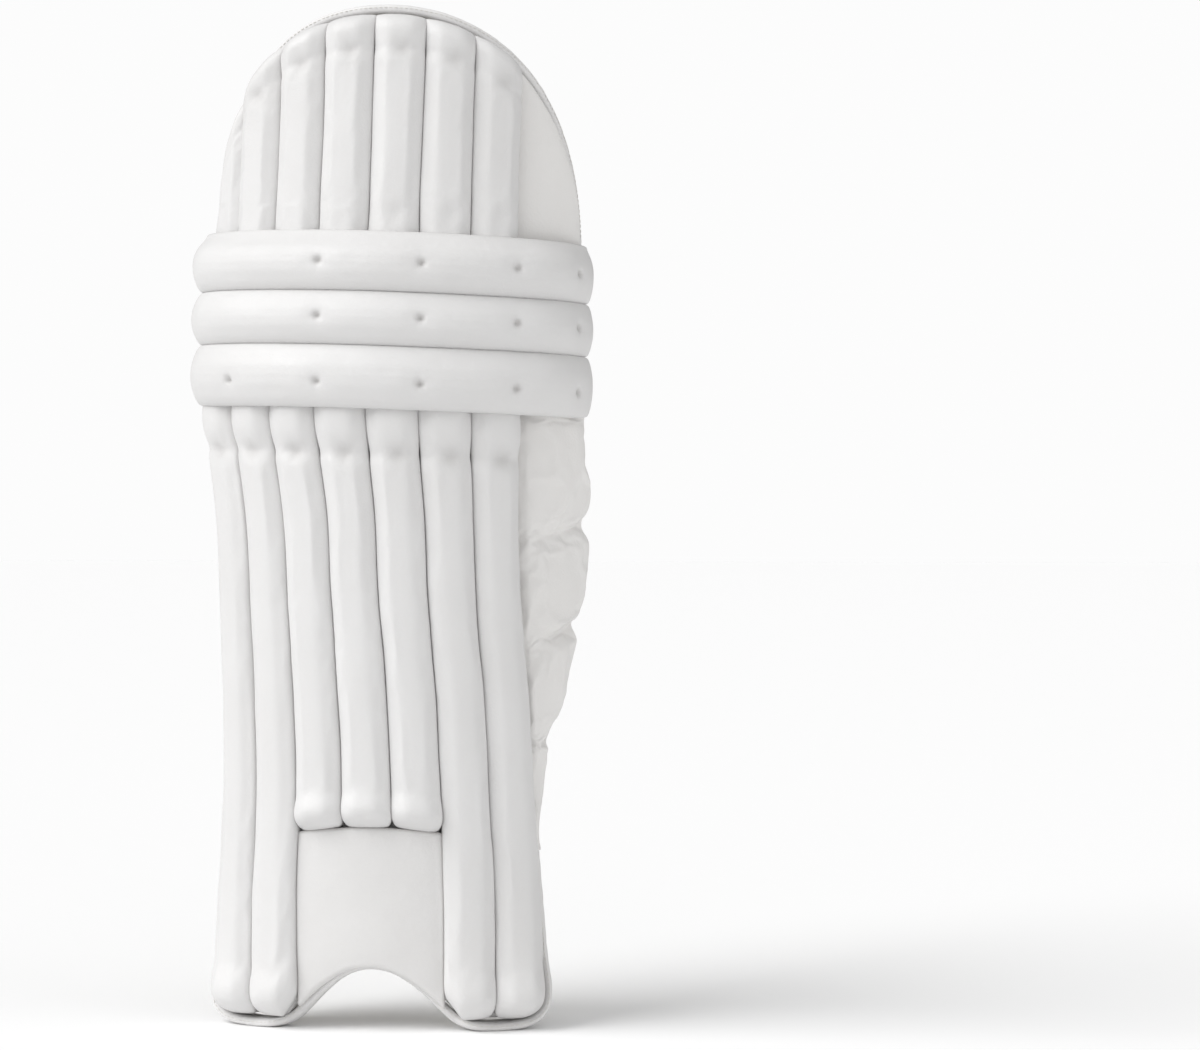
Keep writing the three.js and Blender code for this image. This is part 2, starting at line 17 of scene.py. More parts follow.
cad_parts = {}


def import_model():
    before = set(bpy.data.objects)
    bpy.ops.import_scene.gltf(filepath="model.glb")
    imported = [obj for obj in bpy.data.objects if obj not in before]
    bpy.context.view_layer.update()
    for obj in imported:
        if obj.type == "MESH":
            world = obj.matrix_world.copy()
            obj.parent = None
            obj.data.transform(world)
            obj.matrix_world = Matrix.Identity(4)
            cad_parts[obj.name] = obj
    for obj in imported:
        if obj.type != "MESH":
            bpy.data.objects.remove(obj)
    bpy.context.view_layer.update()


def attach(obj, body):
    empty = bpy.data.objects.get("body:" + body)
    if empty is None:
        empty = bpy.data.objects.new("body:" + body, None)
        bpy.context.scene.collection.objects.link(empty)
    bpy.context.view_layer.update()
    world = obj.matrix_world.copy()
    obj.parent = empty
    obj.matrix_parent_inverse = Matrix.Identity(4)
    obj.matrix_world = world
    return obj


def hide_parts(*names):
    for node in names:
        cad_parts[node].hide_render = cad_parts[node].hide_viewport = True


log = logging.getLogger("batting_pad")

MM = 0.001
BODY = "root"

# From the backing's face to a padded piece's underside, in millimetres
FACE_GAP = 0.6

# The rib in the middle of the seven
MIDDLE_RIB = 4

# How high the middle of a stock tube's end lies in a section, in shares of its rise
CAP_RISE = 0.4

# Past this height a point of a stock tube is on one of its ends
TUBE_END = 0.999

# From one piece's slice of the noise to the next
SEED_STEP = 7.31

Row = tuple[float, ...]
Lay = Callable[[Vector], Vector]


class Slot(Enum):
    """The record's material slots."""

    FACING = "facing"
    SOFT_PANEL = "soft_panel"
    LINING = "lining"
    TAPE = "tape"
    WEBBING = "webbing"


def read(rows: Sequence[Row], column: int, place: float) -> float:
    """Read a table between its rows, on a smooth curve through them.

    Args:
        rows: The table, with the place along it in each row's first column.
        column: The column to read.
        place: Where to read it.

    Returns:
        The value there.
    """
    last = len(rows) - 1
    row = next((i for i in range(last) if place <= rows[i + 1][0]), last - 1)
    a, b = rows[row], rows[row + 1]
    before, after = rows[max(row - 1, 0)], rows[min(row + 2, last)]
    span = b[0] - a[0]
    t = (place - a[0]) / span
    slope_a = (b[column] - before[column]) / (b[0] - before[0]) * span
    slope_b = (after[column] - a[column]) / (after[0] - a[0]) * span
    return (
        (2 * t**3 - 3 * t**2 + 1) * a[column]
        + (t**3 - 2 * t**2 + t) * slope_a
        + (3 * t**2 - 2 * t**3) * b[column]
        + (t**3 - t**2) * slope_b
    )


def mix(low: float, high: float, share: float) -> float:
    """Return the value a share of the way from low to high."""
    return low + (high - low) * share


def ease(value: float, low: float, high: float) -> float:
    """Return 0 below low and 1 above high, with a smooth rise between."""
    share = min(1.0, max(0.0, (value - low) / (high - low)))
    return share * share * (3 - 2 * share)


def rounded(distance: float, radius: float, least: float) -> float:
    """Return the share of full size that a soft end has at some distance from its tip.

    Args:
        distance: From the tip.
        radius: Over which the end rounds off.
        least: The share at the tip itself.

    Returns:
        A share from least to 1, on a quarter of a circle.
    """
    short = 1 - min(1.0, max(0.0, distance / radius))
    return mix(least, 1.0, math.sqrt(max(0.0, 1 - short * short)))


def bell(distance: float, radius: float) -> float:
    """Return a smooth bump of height 1 that fades out past its radius."""
    return math.exp(-((distance / radius) ** 2))


def ripple(seed: float, a: float, b: float) -> float:
    """Return smooth noise between -1 and 1 at a place on a piece of its own seed."""
    return noise.noise(Vector((a, b, seed * SEED_STEP)))


def dent(distance: float, size: Row) -> float:
    """Return how deep a dent of some depth and radius is at a distance from its middle."""
    depth, radius = size
    return depth * bell(distance, radius)


@dataclass(frozen=True)
class ShinForm:
    """The curved form that the flat pieces are bent round, in millimetres."""

    height: float = 717.0
    radius: float = 150.0
    shin_lean: float = 0.2
    hat_lean: float = 6.5
    knee_height: float = 490.0
    knee_softness: float = 60.0
    ankle_height: float = 130.0
    ankle_opening: float = 80.0
    line_drift: float = 14.0
    seat_x: float = -6.8736
    seat_y: float = -70.0751
    # height, drift and spread of the ribs' lines, in shares
    rows: tuple[Row, ...] = (
        (0.0, 0.58, 0.975),
        (0.123, 0.47, 0.975),
        (0.221, 0.44, 0.938),
        (0.319, 0.25, 0.925),
        (0.417, -0.1, 0.918),
        (0.496, -0.32, 0.93),
        (0.594, -0.8, 0.985),
        (0.7, -0.88, 0.98),
        (0.77, -0.8, 0.965),
        (1.0, -0.7, 0.965),
    )

    def line(self, s: float, z: float) -> float:
        """Return the sideways place at height z of a line that is s from the middle."""
        up = z / self.height
        return s * read(self.rows, 2, up) + self.line_drift * read(self.rows, 1, up)

    def set_back(self, z: float) -> float:
        """Return how far back the form's front lies at height z.

        Args:
            z: The height, in millimetres.

        Returns:
            Millimetres, larger behind.
        """
        shin = math.tan(math.radians(self.shin_lean))
        hat = math.tan(math.radians(self.hat_lean))
        past = z - self.knee_height
        return z * shin + (hat - shin) * (past + math.hypot(past, self.knee_softness)) / 2

    def wrap(self, flat: Vector) -> Vector:
        """Bend a flat point round the form.

        Args:
            flat: s, z and n in millimetres.

        Returns:
            The point in metres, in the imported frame.
        """
        s, z, n = flat
        radius = self.radius + self.ankle_opening * max(0.0, 1 - z / self.ankle_height) ** 2
        angle = s / radius
        x = (radius + n) * math.sin(angle)
        y = self.set_back(z) + radius - (radius + n) * math.cos(angle)
        return Vector((x + self.seat_x, y + self.seat_y, z)) * MM

    def drape(self, flat: Vector) -> Vector:
        """Bend a flat point that follows the ribs' wandering lines round the form."""
        return self.wrap(Vector((self.line(flat.x, flat.y), flat.y, flat.z)))


@dataclass(frozen=True)
class Outlines:
    """The flat outlines of the shin section, the dome and the knee rolls, in millimetres."""

    form: ShinForm
    half_width: float = 130.0
    ribs_half: float = 119.0
    edge_margin: float = 4.0
    binding_depth: float = 7.0
    seat_gap: float = 0.6
    seam_gap: float = 0.8
    arch_width: float = 122.0
    arch_height: float = 43.0
    corner_width: float = 24.0
    corner_height: float = 17.0
    backing_joint: float = 455.0
    backing_thickness: float = 10.0
    roll_base: float = 436.0
    roll_top: float = 555.5
    roll_drop: float = 9.0
    roll_inner: float = -139.0
    roll_outer: float = 170.0
    dome_base: float = 541.0
    dome_rise: float = 176.0
    dome_crown: float = 11.0
    dome_inner: tuple[float, float] = (144.0, 2.25)
    dome_outer: tuple[float, float] = (163.0, 2.0)
    panel_top: float = 136.0
    panel_brow: float = 4.0
    panel_half: float = 51.0
    wing_low: float = 122.0

    def roll_sag(self, s: float) -> float:
        """Return how much lower the rolls lie at s than at their inner end."""
        return self.roll_drop * ease(s, self.roll_inner, self.roll_outer)

    def roll_reach(self) -> float:
        """Return how long the rolls are, from end to end."""
        return self.roll_outer - self.roll_inner

    def under_rolls(self, s: float) -> float:
        """Return the height where a piece stops under the rolls."""
        return self.roll_base - self.roll_sag(s) - self.seam_gap

    def over_rolls(self, s: float) -> float:
        """Return the height where a piece starts over the rolls."""
        return self.roll_top - self.roll_sag(s) + self.seam_gap

    def instep_top(self, s: float) -> float:
        """Return the height of the instep panel's upper edge."""
        return self.panel_top + self.panel_brow * math.cos(math.pi * s / (2 * self.panel_half))

    def dome_side(self, s: float) -> tuple[float, float]:
        """Return the dome's reach from its crown, and its power, on the side where s lies."""
        return self.dome_inner if s < self.dome_crown else self.dome_outer

    def dome_top(self, s: float, inset: float) -> float:
        """Return the height of the dome's edge at s, moved in by an inset.

        Args:
            s: Sideways, in millimetres.
            inset: How far inside the edge, in millimetres.

        Returns:
            The height there, or the dome's base outside it.
        """
        reach, power = self.dome_side(s)
        share = abs(s - self.dome_crown) / (reach - inset)
        return self.dome_base + (self.dome_rise - inset) * max(0.0, 1 - share**power) ** (1 / power)

    def dome_edge(self, turn: float, inset: float) -> Vector:
        """Return a point of the dome's edge, at a turn from the inner shoulder to the outer.

        Args:
            turn: From 0 at the inner shoulder to pi at the outer.
            inset: How far inside the edge, in millimetres.

        Returns:
            s and z.
        """
        side = math.copysign(1.0, -math.cos(turn))
        reach, power = self.dome_side(self.dome_crown + side)
        across = abs(math.cos(turn)) ** (2 / power)
        up = max(0.0, math.sin(turn)) ** (2 / power)
        return Vector(
            (
                self.dome_crown + side * (reach - inset) * across,
                self.dome_base + (self.dome_rise - inset) * up,
            )
        )

    def sole_edge(self, s: float) -> float:
        """Return the height of the shin section's lower edge at s.

        Args:
            s: Sideways from the middle, in millimetres.

        Returns:
            The height there.
        """
        across = abs(s)
        if across < self.arch_width / 2:
            return self.arch_height * math.cos(math.pi * s / self.arch_width)
        corner = self.half_width - self.corner_width
        turn = min(1.0, max(0.0, across - corner) / self.corner_width)
        return self.corner_height * (1 - math.sqrt(1 - turn * turn))

    def sole_places(self, corner_steps: int, flat_steps: int, arch_steps: int) -> list[float]:
        """Return places across the sole, closest together on its corners and its arch.

        Args:
            corner_steps: Steps round each corner.
            flat_steps: Steps along each lobe.
            arch_steps: Steps along each half of the arch.

        Returns:
            Places from the inner side to the outer, in millimetres.
        """
        corner = self.half_width - self.corner_width
        arch = self.arch_width / 2
        turns = [math.sin(math.pi / 2 * i / corner_steps) for i in range(corner_steps, 0, -1)]
        outer = [corner + self.corner_width * turn for turn in turns]
        outer += [mix(corner, arch, i / flat_steps) for i in range(flat_steps)]
        outer += [arch * (1 - i / arch_steps) for i in range(arch_steps)]
        return [-s for s in outer] + [0.0] + outer[::-1]

    def shin_outline(self, places: Sequence[float], sides: int) -> list[Vector]:
        """Return the shin section's outline, down one side, over the sole and up the other.

        Args:
            places: Across the sole.
            sides: Steps up each side.

        Returns:
            Flat points in order, s and z.
        """
        top = self.backing_joint - self.seat_gap
        heights = [mix(self.corner_height, top, i / sides) for i in range(1, sides + 1)]
        return (
            [Vector((-self.half_width, z)) for z in reversed(heights)]
            + [Vector((s, self.sole_edge(s))) for s in places]
            + [Vector((self.half_width, z)) for z in heights]
        )

    @staticmethod
    def moved_in(outline: Sequence[Vector], i: int, inset: float) -> Vector:
        """Return a point of an outline, moved square to it into the piece.

        Args:
            outline: Flat points in order.
            i: Which point to move.
            inset: How far inside the edge, in millimetres.

        Returns:
            The moved point.
        """
        at = outline[i]
        runs = [at - outline[i - 1]] if i > 0 else []
        runs += [outline[i + 1] - at] if i + 1 < len(outline) else []
        squares = [Vector((-run.y, run.x)).normalized() for run in runs]
        first, second = squares[0], squares[-1]
        return at + (first + second) * (inset / (1 + first.dot(second)))


class NodeBench:
    """Adds and links the nodes of one material."""

    def __init__(self, name: str) -> None:
        """Start a material of that name with one principled shader.

        Args:
            name: The material's.
        """
        self.material = bpy.data.materials.new(name)
        self.material.use_nodes = True
        self.tree = self.material.node_tree
        self.tree.nodes.clear()
        output = self.add("ShaderNodeOutputMaterial")
        self.shader = self.add("ShaderNodeBsdfPrincipled")
        self.link(self.shader.outputs["BSDF"], output.inputs["Surface"])

    def add(self, kind: str, **settings: object) -> bpy.types.Node:
        """Add a node of that kind, with its settings.

        Args:
            kind: The node's type.
            settings: Its properties and their values.

        Returns:
            The node.
        """
        node = self.tree.nodes.new(kind)
        for key, value in settings.items():
            setattr(node, key, value)
        return node

    def link(self, source: bpy.types.NodeSocket, target: bpy.types.NodeSocket) -> None:
        """Link two sockets."""
        self.tree.links.new(source, target)

    def place(self) -> bpy.types.NodeSocket:
        """Return the object's own coordinates."""
        return self.add("ShaderNodeTexCoord").outputs["Object"]

    def attribute(self, name: str) -> bpy.types.Node:
        """Return a node that reads one of the mesh's attributes."""
        return self.add("ShaderNodeAttribute", attribute_type="GEOMETRY", attribute_name=name)

    def cloud(self, at: bpy.types.NodeSocket, scale: float, detail: float) -> bpy.types.NodeSocket:
        """Return noise of a scale per metre, from 0 to 1.

        Args:
            at: The coordinates to read it at.
            scale: Its scale per metre.
            detail: How many finer layers it has.

        Returns:
            The noise.
        """
        node = self.add("ShaderNodeTexNoise")
        node.inputs["Scale"].default_value = scale
        node.inputs["Detail"].default_value = detail
        self.link(at, node.inputs["Vector"])
        return node.outputs["Fac"]

    def cells(self, at: bpy.types.NodeSocket, scale: float) -> bpy.types.NodeSocket:
        """Return soft cells of a scale per metre, for the grain of leather.

        Args:
            at: The coordinates to read it at.
            scale: Its scale per metre.

        Returns:
            The distance to the nearest cell's middle.
        """
        node = self.add("ShaderNodeTexVoronoi", feature="SMOOTH_F1")
        node.inputs["Scale"].default_value = scale
        node.inputs["Smoothness"].default_value = 0.6
        self.link(at, node.inputs["Vector"])
        return node.outputs["Distance"]

    def span(
        self, value: bpy.types.NodeSocket, low: float, high: float, start: float = 0.0, end: float = 1.0
    ) -> bpy.types.NodeSocket:
        """Return a value brought from start and end to low and high.

        Args:
            value: What to bring.
            low: What it is brought to at the start.
            high: What it is brought to at the end.
            start: The value at the start.
            end: The value at the end.

        Returns:
            The new value, held between low and high.
        """
        node = self.add("ShaderNodeMapRange")
        numbers = {"From Min": start, "From Max": end, "To Min": low, "To Max": high}
        for key, number in numbers.items():
            node.inputs[key].default_value = number
        self.link(value, node.inputs["Value"])
        return node.outputs["Result"]

    def tint(
        self, share: bpy.types.NodeSocket, first: bpy.types.NodeSocket | Row, second: Row
    ) -> bpy.types.NodeSocket:
        """Return a colour between the first, which may be a socket, and the second.

        Args:
            share: Of the second colour.
            first: A colour or a socket.
            second: A colour.

        Returns:
            The mixed colour.
        """
        node = self.add("ShaderNodeMix", data_type="RGBA")
        self.link(share, node.inputs[0])
        if isinstance(first, tuple):
            node.inputs[6].default_value = (*first, 1.0)
        else:
            self.link(first, node.inputs[6])
        node.inputs[7].default_value = (*second, 1.0)
        return node.outputs[2]

    def math(self, kind: str, *values: bpy.types.NodeSocket | float) -> bpy.types.NodeSocket:
        """Return what a math node makes of its values.

        Args:
            kind: The operation.
            values: Sockets or numbers.

        Returns:
            The result.
        """
        node = self.add("ShaderNodeMath", operation=kind)
        for socket, value in zip(node.inputs, values):
            if isinstance(value, (int, float)):
                socket.default_value = value
            else:
                self.link(value, socket)
        return node.outputs[0]

    def bump(
        self, height: bpy.types.NodeSocket, depth: float, under: bpy.types.NodeSocket | None = None
    ) -> bpy.types.NodeSocket:
        """Return a normal raised by a height of some depth in metres, over another normal.

        Args:
            height: From 0 to 1.
            depth: In metres.
            under: The normal below, if there is one.

        Returns:
            The new normal.
        """
        node = self.add("ShaderNodeBump")
        node.inputs["Strength"].default_value = 1.0
        node.inputs["Distance"].default_value = depth
        self.link(height, node.inputs["Height"])
        if under is not None:
            self.link(under, node.inputs["Normal"])
        return node.outputs["Normal"]


def shade_of(colour: Row, share: float, warmth: float = 0.0) -> Row:
    """Return a darker and perhaps warmer shade of a colour."""
    return (colour[0] * share, colour[1] * share * (1 - warmth / 2), colour[2] * share * (1 - warmth))


@dataclass(frozen=True)
class CoatedLeather:
    """White coated leather: fine grain, soft creases, faint mottling, and painted shade darkening its seams,
    pinches and tufts.
    """

    name: str
    colour: Row
    roughness: float = 0.5
    grain: float = 0.00009
    grain_scale: float = 620.0
    crease: float = 0.0011
    crease_scale: float = 26.0
    mottle_scale: float = 9.0
    wear_scale: float = 55.0
    wear: float = 0.35
    polish_scale: float = 40.0
    # how far the seam attribute darkens the colour: painted shade in grooves, pinches and tufts
    painted_shade: float = 0.9
    gloss: float = 0.42

    def make(self) -> bpy.types.Material:
        """Return the material.

        Returns:
            A new material.
        """
        bench = NodeBench(self.name)
        at = bench.place()
        mottle = bench.span(bench.cloud(at, self.mottle_scale, 4.0), 0.0, 1.0, 0.3, 0.7)
        worn = bench.span(bench.cloud(at, self.wear_scale, 6.0), 0.0, 0.5, 0.52, 0.75)
        # painted shade: the seam attribute darkens the colour deep in the grooves, in the pinches and in the
        # tufts
        painted_shade = bench.span(bench.attribute("seam").outputs["Fac"], 0.0, self.painted_shade)
        colour = bench.tint(mottle, self.colour, shade_of(self.colour, 0.965, 0.006))
        wear = bench.math("MULTIPLY", worn, self.wear)
        colour = bench.tint(wear, colour, shade_of(self.colour, 0.94, 0.012))
        # lay the painted shade over the colour
        colour = bench.tint(painted_shade, colour, shade_of(self.colour, 0.72, 0.03))
        shader = bench.shader
        bench.link(colour, shader.inputs["Base Color"])
        low, high = self.roughness - 0.07, self.roughness + 0.09
        rough = bench.span(bench.cloud(at, self.polish_scale, 3.0), low, high, 0.3, 0.7)
        bench.link(rough, shader.inputs["Roughness"])
        shader.inputs["Specular IOR Level"].default_value = self.gloss
        crease = bench.bump(bench.cloud(at, self.crease_scale, 5.0), self.crease)
        grain = bench.bump(bench.cells(at, self.grain_scale), self.grain, crease)
        bench.link(grain, shader.inputs["Normal"])
        return bench.material


@dataclass(frozen=True)
class WovenCloth:
    """Plain weave that follows the piece's flat layout, with slubs and a soft nap, and painted shade in its
    low threads and its quilted channels.
    """

    name: str
    colour: Row
    thread: float = 0.0009
    depth: float = 0.00012
    slub_scale: float = 180.0
    nap: float = 0.0006
    nap_scale: float = 60.0
    # how far the seam attribute darkens the colour: painted shade in the quilted channels
    painted_shade: float = 0.8

    def make(self) -> bpy.types.Material:
        """Return the material.

        Returns:
            A new material.
        """
        bench = NodeBench(self.name)
        flat = bench.add("ShaderNodeSeparateXYZ")
        bench.link(bench.attribute("flat").outputs["Vector"], flat.inputs[0])
        turns = math.pi / self.thread
        waves = [
            bench.math("SINE", bench.math("MULTIPLY", flat.outputs[axis], turns)) for axis in (0, 1)
        ]
        over, under = (bench.math("ABSOLUTE", wave) for wave in waves)
        share = bench.span(bench.math("MULTIPLY", *waves), 0.0, 1.0, -0.3, 0.3)
        height = bench.math(
            "ADD",
            bench.math("MULTIPLY", over, share),
            bench.math("MULTIPLY", under, bench.math("SUBTRACT", 1.0, share)),
        )
        at = bench.place()
        slubs = bench.span(bench.cloud(at, self.slub_scale, 4.0), 0.0, 0.5, 0.35, 0.7)
        colour = bench.tint(slubs, self.colour, shade_of(self.colour, 0.9, 0.02))
        # painted shade: the weave's low threads are darkened
        colour = bench.tint(bench.span(height, 0.45, 0.0), colour, shade_of(self.colour, 0.62, 0.04))
        # painted shade: the seam attribute darkens the lining in its quilted channels
        painted_shade = bench.span(bench.attribute("seam").outputs["Fac"], 0.0, self.painted_shade)
        colour = bench.tint(painted_shade, colour, shade_of(self.colour, 0.6, 0.05))
        shader = bench.shader
        bench.link(colour, shader.inputs["Base Color"])
        shader.inputs["Roughness"].default_value = 0.9
        shader.inputs["Specular IOR Level"].default_value = 0.2
        shader.inputs["Sheen Weight"].default_value = 0.25
        shader.inputs["Sheen Roughness"].default_value = 0.5
        loose = bench.bump(bench.cloud(at, self.nap_scale, 4.0), self.nap)
        bench.link(bench.bump(height, self.depth, loose), shader.inputs["Normal"])
        return bench.material


@dataclass(frozen=True)
class Webbing:
    """Narrow woven strap with raised cords along it and finer picks across them, and painted shade between
    the cords.
    """

    name: str
    colour: Row
    cord: float = 0.0024
    pick: float = 0.45
    depth: float = 0.00035
    stain_scale: float = 20.0

    def make(self) -> bpy.types.Material:
        """Return the material.

        Returns:
            A new material.
        """
        bench = NodeBench(self.name)
        flat = bench.add("ShaderNodeSeparateXYZ")
        bench.link(bench.attribute("flat").outputs["Vector"], flat.inputs[0])
        cords, picks = (
            bench.math("SINE", bench.math("MULTIPLY", flat.outputs[axis], 2 * math.pi / pitch))
            for axis, pitch in ((1, self.cord), (0, self.cord * self.pick))
        )
        relief = bench.math("ADD", cords, bench.math("MULTIPLY", picks, self.pick))
        height = bench.span(relief, 0.0, 1.0, -1 - self.pick, 1 + self.pick)
        stain = bench.span(bench.cloud(bench.place(), self.stain_scale, 4.0), 0.0, 0.3, 0.4, 0.7)
        # painted shade: the strap is darker between its raised cords
        colour = bench.tint(bench.span(height, 0.6, 0.0), self.colour, shade_of(self.colour, 0.75, 0.03))
        colour = bench.tint(stain, colour, shade_of(self.colour, 0.88, 0.04))
        shader = bench.shader
        bench.link(colour, shader.inputs["Base Color"])
        shader.inputs["Roughness"].default_value = 0.82
        shader.inputs["Sheen Weight"].default_value = 0.3
        bench.link(bench.bump(height, self.depth), shader.inputs["Normal"])
        return bench.material


@dataclass(frozen=True)
class SewingThread:
    """Waxed thread with a fine twist."""

    name: str
    colour: Row
    twist_scale: float = 2600.0
    depth: float = 0.0001

    def make(self) -> bpy.types.Material:
        """Return the material.

        Returns:
            A new material.
        """
        bench = NodeBench(self.name)
        twist = bench.cloud(bench.place(), self.twist_scale, 2.0)
        colour = bench.tint(twist, self.colour, shade_of(self.colour, 0.8, 0.03))
        bench.link(colour, bench.shader.inputs["Base Color"])
        bench.shader.inputs["Roughness"].default_value = 0.6
        bench.link(bench.bump(twist, self.depth), bench.shader.inputs["Normal"])
        return bench.material


class Finishes:
    """The pad's finishes, each made once."""

    def __init__(self) -> None:
        """Make every material."""
        self.facing = CoatedLeather("coated_leather_facing", (0.7, 0.695, 0.692)).make()
        self.soft = CoatedLeather("coated_leather_soft", (0.685, 0.678, 0.672), 0.56, crease=0.0016).make()
        # a smoother, brighter copy of the white leather for the wing and the top hat's side panel: partly its
        # own finish, partly painted light where these panels turn away from the lamps
        self.plain = CoatedLeather("coated_leather_brightened", (0.79, 0.779, 0.766), 0.54, crease=0.0014).make()
        self.tape = CoatedLeather("folded_edge_tape", (0.74, 0.733, 0.729), 0.52, crease_scale=60.0).make()
        self.lining = WovenCloth("cotton_lining", (0.72, 0.69, 0.63)).make()
        self.webbing = Webbing("strap_webbing", (0.74, 0.73, 0.69)).make()
        self.thread = SewingThread("sewing_thread", (0.78, 0.77, 0.73)).make()


@dataclass(frozen=True)
class Filling:
    """How a padded piece is blown up against its seams."""

    pressure: float = 4.0
    reach: float = 3.0
    growth: float = 0.0
    stiffness: float = 12.0
    bending: float = 0.25


@dataclass
class Workshop:
    """Makes stock meshes, lays them out, bends them and turns them into pieces."""

    form: ShinForm
    finishes: Finishes
    frames: int = 20
    quality: int = 5
    least_pin: float = 0.01
    stitch_half: float = 0.4
    to_fill: list[tuple[bpy.types.Object, Filling]] = field(default_factory=list)

    @staticmethod
    def tube(segments: int, stations: int) -> bmesh.types.BMesh:
        """Return a closed tube along z from -1 to 1, of radius 1.

        Args:
            segments: Round it.
            stations: Rings along it, with both ends.

        Returns:
            The stock mesh.
        """
        bm = bmesh.new()
        bmesh.ops.create_cone(
            bm, cap_ends=True, cap_tris=False, segments=segments, radius1=1.0, radius2=1.0, depth=2.0
        )
        ends = [face for face in bm.faces if len(face.verts) == segments]
        bmesh.ops.poke(bm, faces=ends)
        uprights = [e for e in bm.edges if abs(e.verts[0].co.z - e.verts[1].co.z) > 1]
        bmesh.ops.subdivide_edges(bm, edges=uprights, cuts=stations - 2, use_grid_fill=True)
        return bm

    @staticmethod
    def slab(across: int, up: int, out: int) -> bmesh.types.BMesh:
        """Return a closed box from -1 to 1, cut into steps across x, up z and out along y.

        Args:
            across: Steps across x.
            up: Steps up z.
            out: Steps along y.

        Returns:
            The stock mesh.
        """
        bm = bmesh.new()
        bmesh.ops.create_cube(bm, size=2.0)
        for axis, steps in ((0, across), (2, up), (1, out)):
            edges = [e for e in bm.edges if abs(e.verts[0].co[axis] - e.verts[1].co[axis]) > 1e-6]
            if steps > 1:
                bmesh.ops.subdivide_edges(bm, edges=edges, cuts=steps - 1, use_grid_fill=True)
        return bm

    def lay(
        self,
        bm: bmesh.types.BMesh,
        lay: Lay,
        bend: Lay,
        seam: Callable[[Vector, Vector], float] | None = None,
        pin: Callable[[Vector, Vector], float] | None = None,
    ) -> None:
        """Move each vertex of a stock mesh to its flat place, and bend it.

        Args:
            bm: The stock mesh.
            lay: Gives the flat place of a stock point.
            bend: Gives the place in metres of a flat point.
            seam: Gives 1 in a seam and 0 away from it, at a stock point and its flat place.
            pin: Gives 1 where the cover is sewn down, at a stock point and its flat place.
        """
        flat_layer = bm.verts.layers.float_vector.new("flat")
        # the seam attribute sets how much painted shade the finishes lay on
        seam_layer = bm.verts.layers.float.new("seam")
        pin_layer = bm.verts.layers.float.new("pin")
        for vert in bm.verts:
            stock = vert.co.copy()
            flat = lay(stock)
            vert[flat_layer] = flat * MM
            vert[seam_layer] = seam(stock, flat) if seam else 0.0
            vert[pin_layer] = pin(stock, flat) if pin else 1.0
            vert.co = bend(flat)
        bmesh.ops.recalc_face_normals(bm, faces=bm.faces)

    def piece(
        self,
        bm: bmesh.types.BMesh,
        name: str,
        slot: Slot,
        materials: Sequence[bpy.types.Material],
        node: str | None = None,
        fill: float | None = None,
        filling: Filling | None = None,
    ) -> bpy.types.Object:
        """Turn a mesh into a piece of the pad.

        Args:
            bm: The mesh, which is freed.
            name: The piece's name.
            slot: Not used.
            materials: Its materials, in the order of the faces' indices.
            node: The solid that it stands for.
            fill: Not used.
            filling: How its cover is blown up.

        Returns:
            The new object.
        """
        mesh = bpy.data.meshes.new(name)
        bm.to_mesh(mesh)
        bm.free()
        mesh.shade_smooth()
        obj = bpy.data.objects.new(name, mesh)
        bpy.context.scene.collection.objects.link(obj)
        for material in materials:
            mesh.materials.append(material)
        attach(obj, BODY)
        if node:
            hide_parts(node)
        if filling:
            self.to_fill.append((obj, filling))
        log.info("piece %s: %d vertices", name, len(mesh.vertices))
        return obj

    def fill_all(self) -> None:
        """Blow up every padded piece at once against its seams, and keep the result."""
        scene = bpy.context.scene
        before: dict[str, list[Vector]] = {}
        for obj, filling in self.to_fill:
            before[obj.name] = [vert.co.copy() for vert in obj.data.vertices]
            self._add_cover(obj, filling)
        for frame_number in range(1, self.frames + 1):
            scene.frame_set(frame_number)
        depsgraph = bpy.context.evaluated_depsgraph_get()
        results = {
            obj.name: [vert.co.copy() for vert in obj.evaluated_get(depsgraph).data.vertices]
            for obj, _ in self.to_fill
        }
        for obj, filling in self.to_fill:
            obj.modifiers.clear()
            obj.vertex_groups.clear()
            most = filling.reach * MM
            for vert, old, new in zip(obj.data.vertices, before[obj.name], results[obj.name]):
                move = new - old
                length = move.length
                if length > 0:
                    vert.co = old + move * (most * math.tanh(length / most) / length)
        scene.frame_set(1)
        log.info("%d pieces blown up", len(self.to_fill))

    def _add_cover(self, obj: bpy.types.Object, filling: Filling) -> None:
        """Give a piece a cloth cover, sewn down by its pin attribute.

        Args:
            obj: The padded piece.
            filling: How it is blown up.
        """
        pins = obj.vertex_groups.new(name="pins")
        for i, value in enumerate(obj.data.attributes["pin"].data):
            if value.value > self.least_pin:
                pins.add([i], min(1.0, value.value), "REPLACE")
        cover = obj.modifiers.new("cover", "CLOTH")
        cover.point_cache.frame_start = 1
        cover.point_cache.frame_end = self.frames
        cover.collision_settings.use_collision = False
        settings = cover.settings
        settings.quality = self.quality
        settings.vertex_group_mass = "pins"
        settings.use_pressure = True
        settings.uniform_pressure_force = filling.pressure
        settings.effector_weights.gravity = 0.0
        settings.tension_stiffness = filling.stiffness
        settings.compression_stiffness = filling.stiffness
        settings.bending_stiffness = filling.bending
        settings.shrink_min = -filling.growth

    def smooth(self, objects: Iterable[bpy.types.Object], levels: int = 1) -> None:
        """Give pieces a subdivision surface.

        Args:
            objects: The pieces.
            levels: Of subdivision.
        """
        for obj in objects:
            surface = obj.modifiers.new("surface", "SUBSURF")
            surface.levels = levels
            surface.render_levels = levels

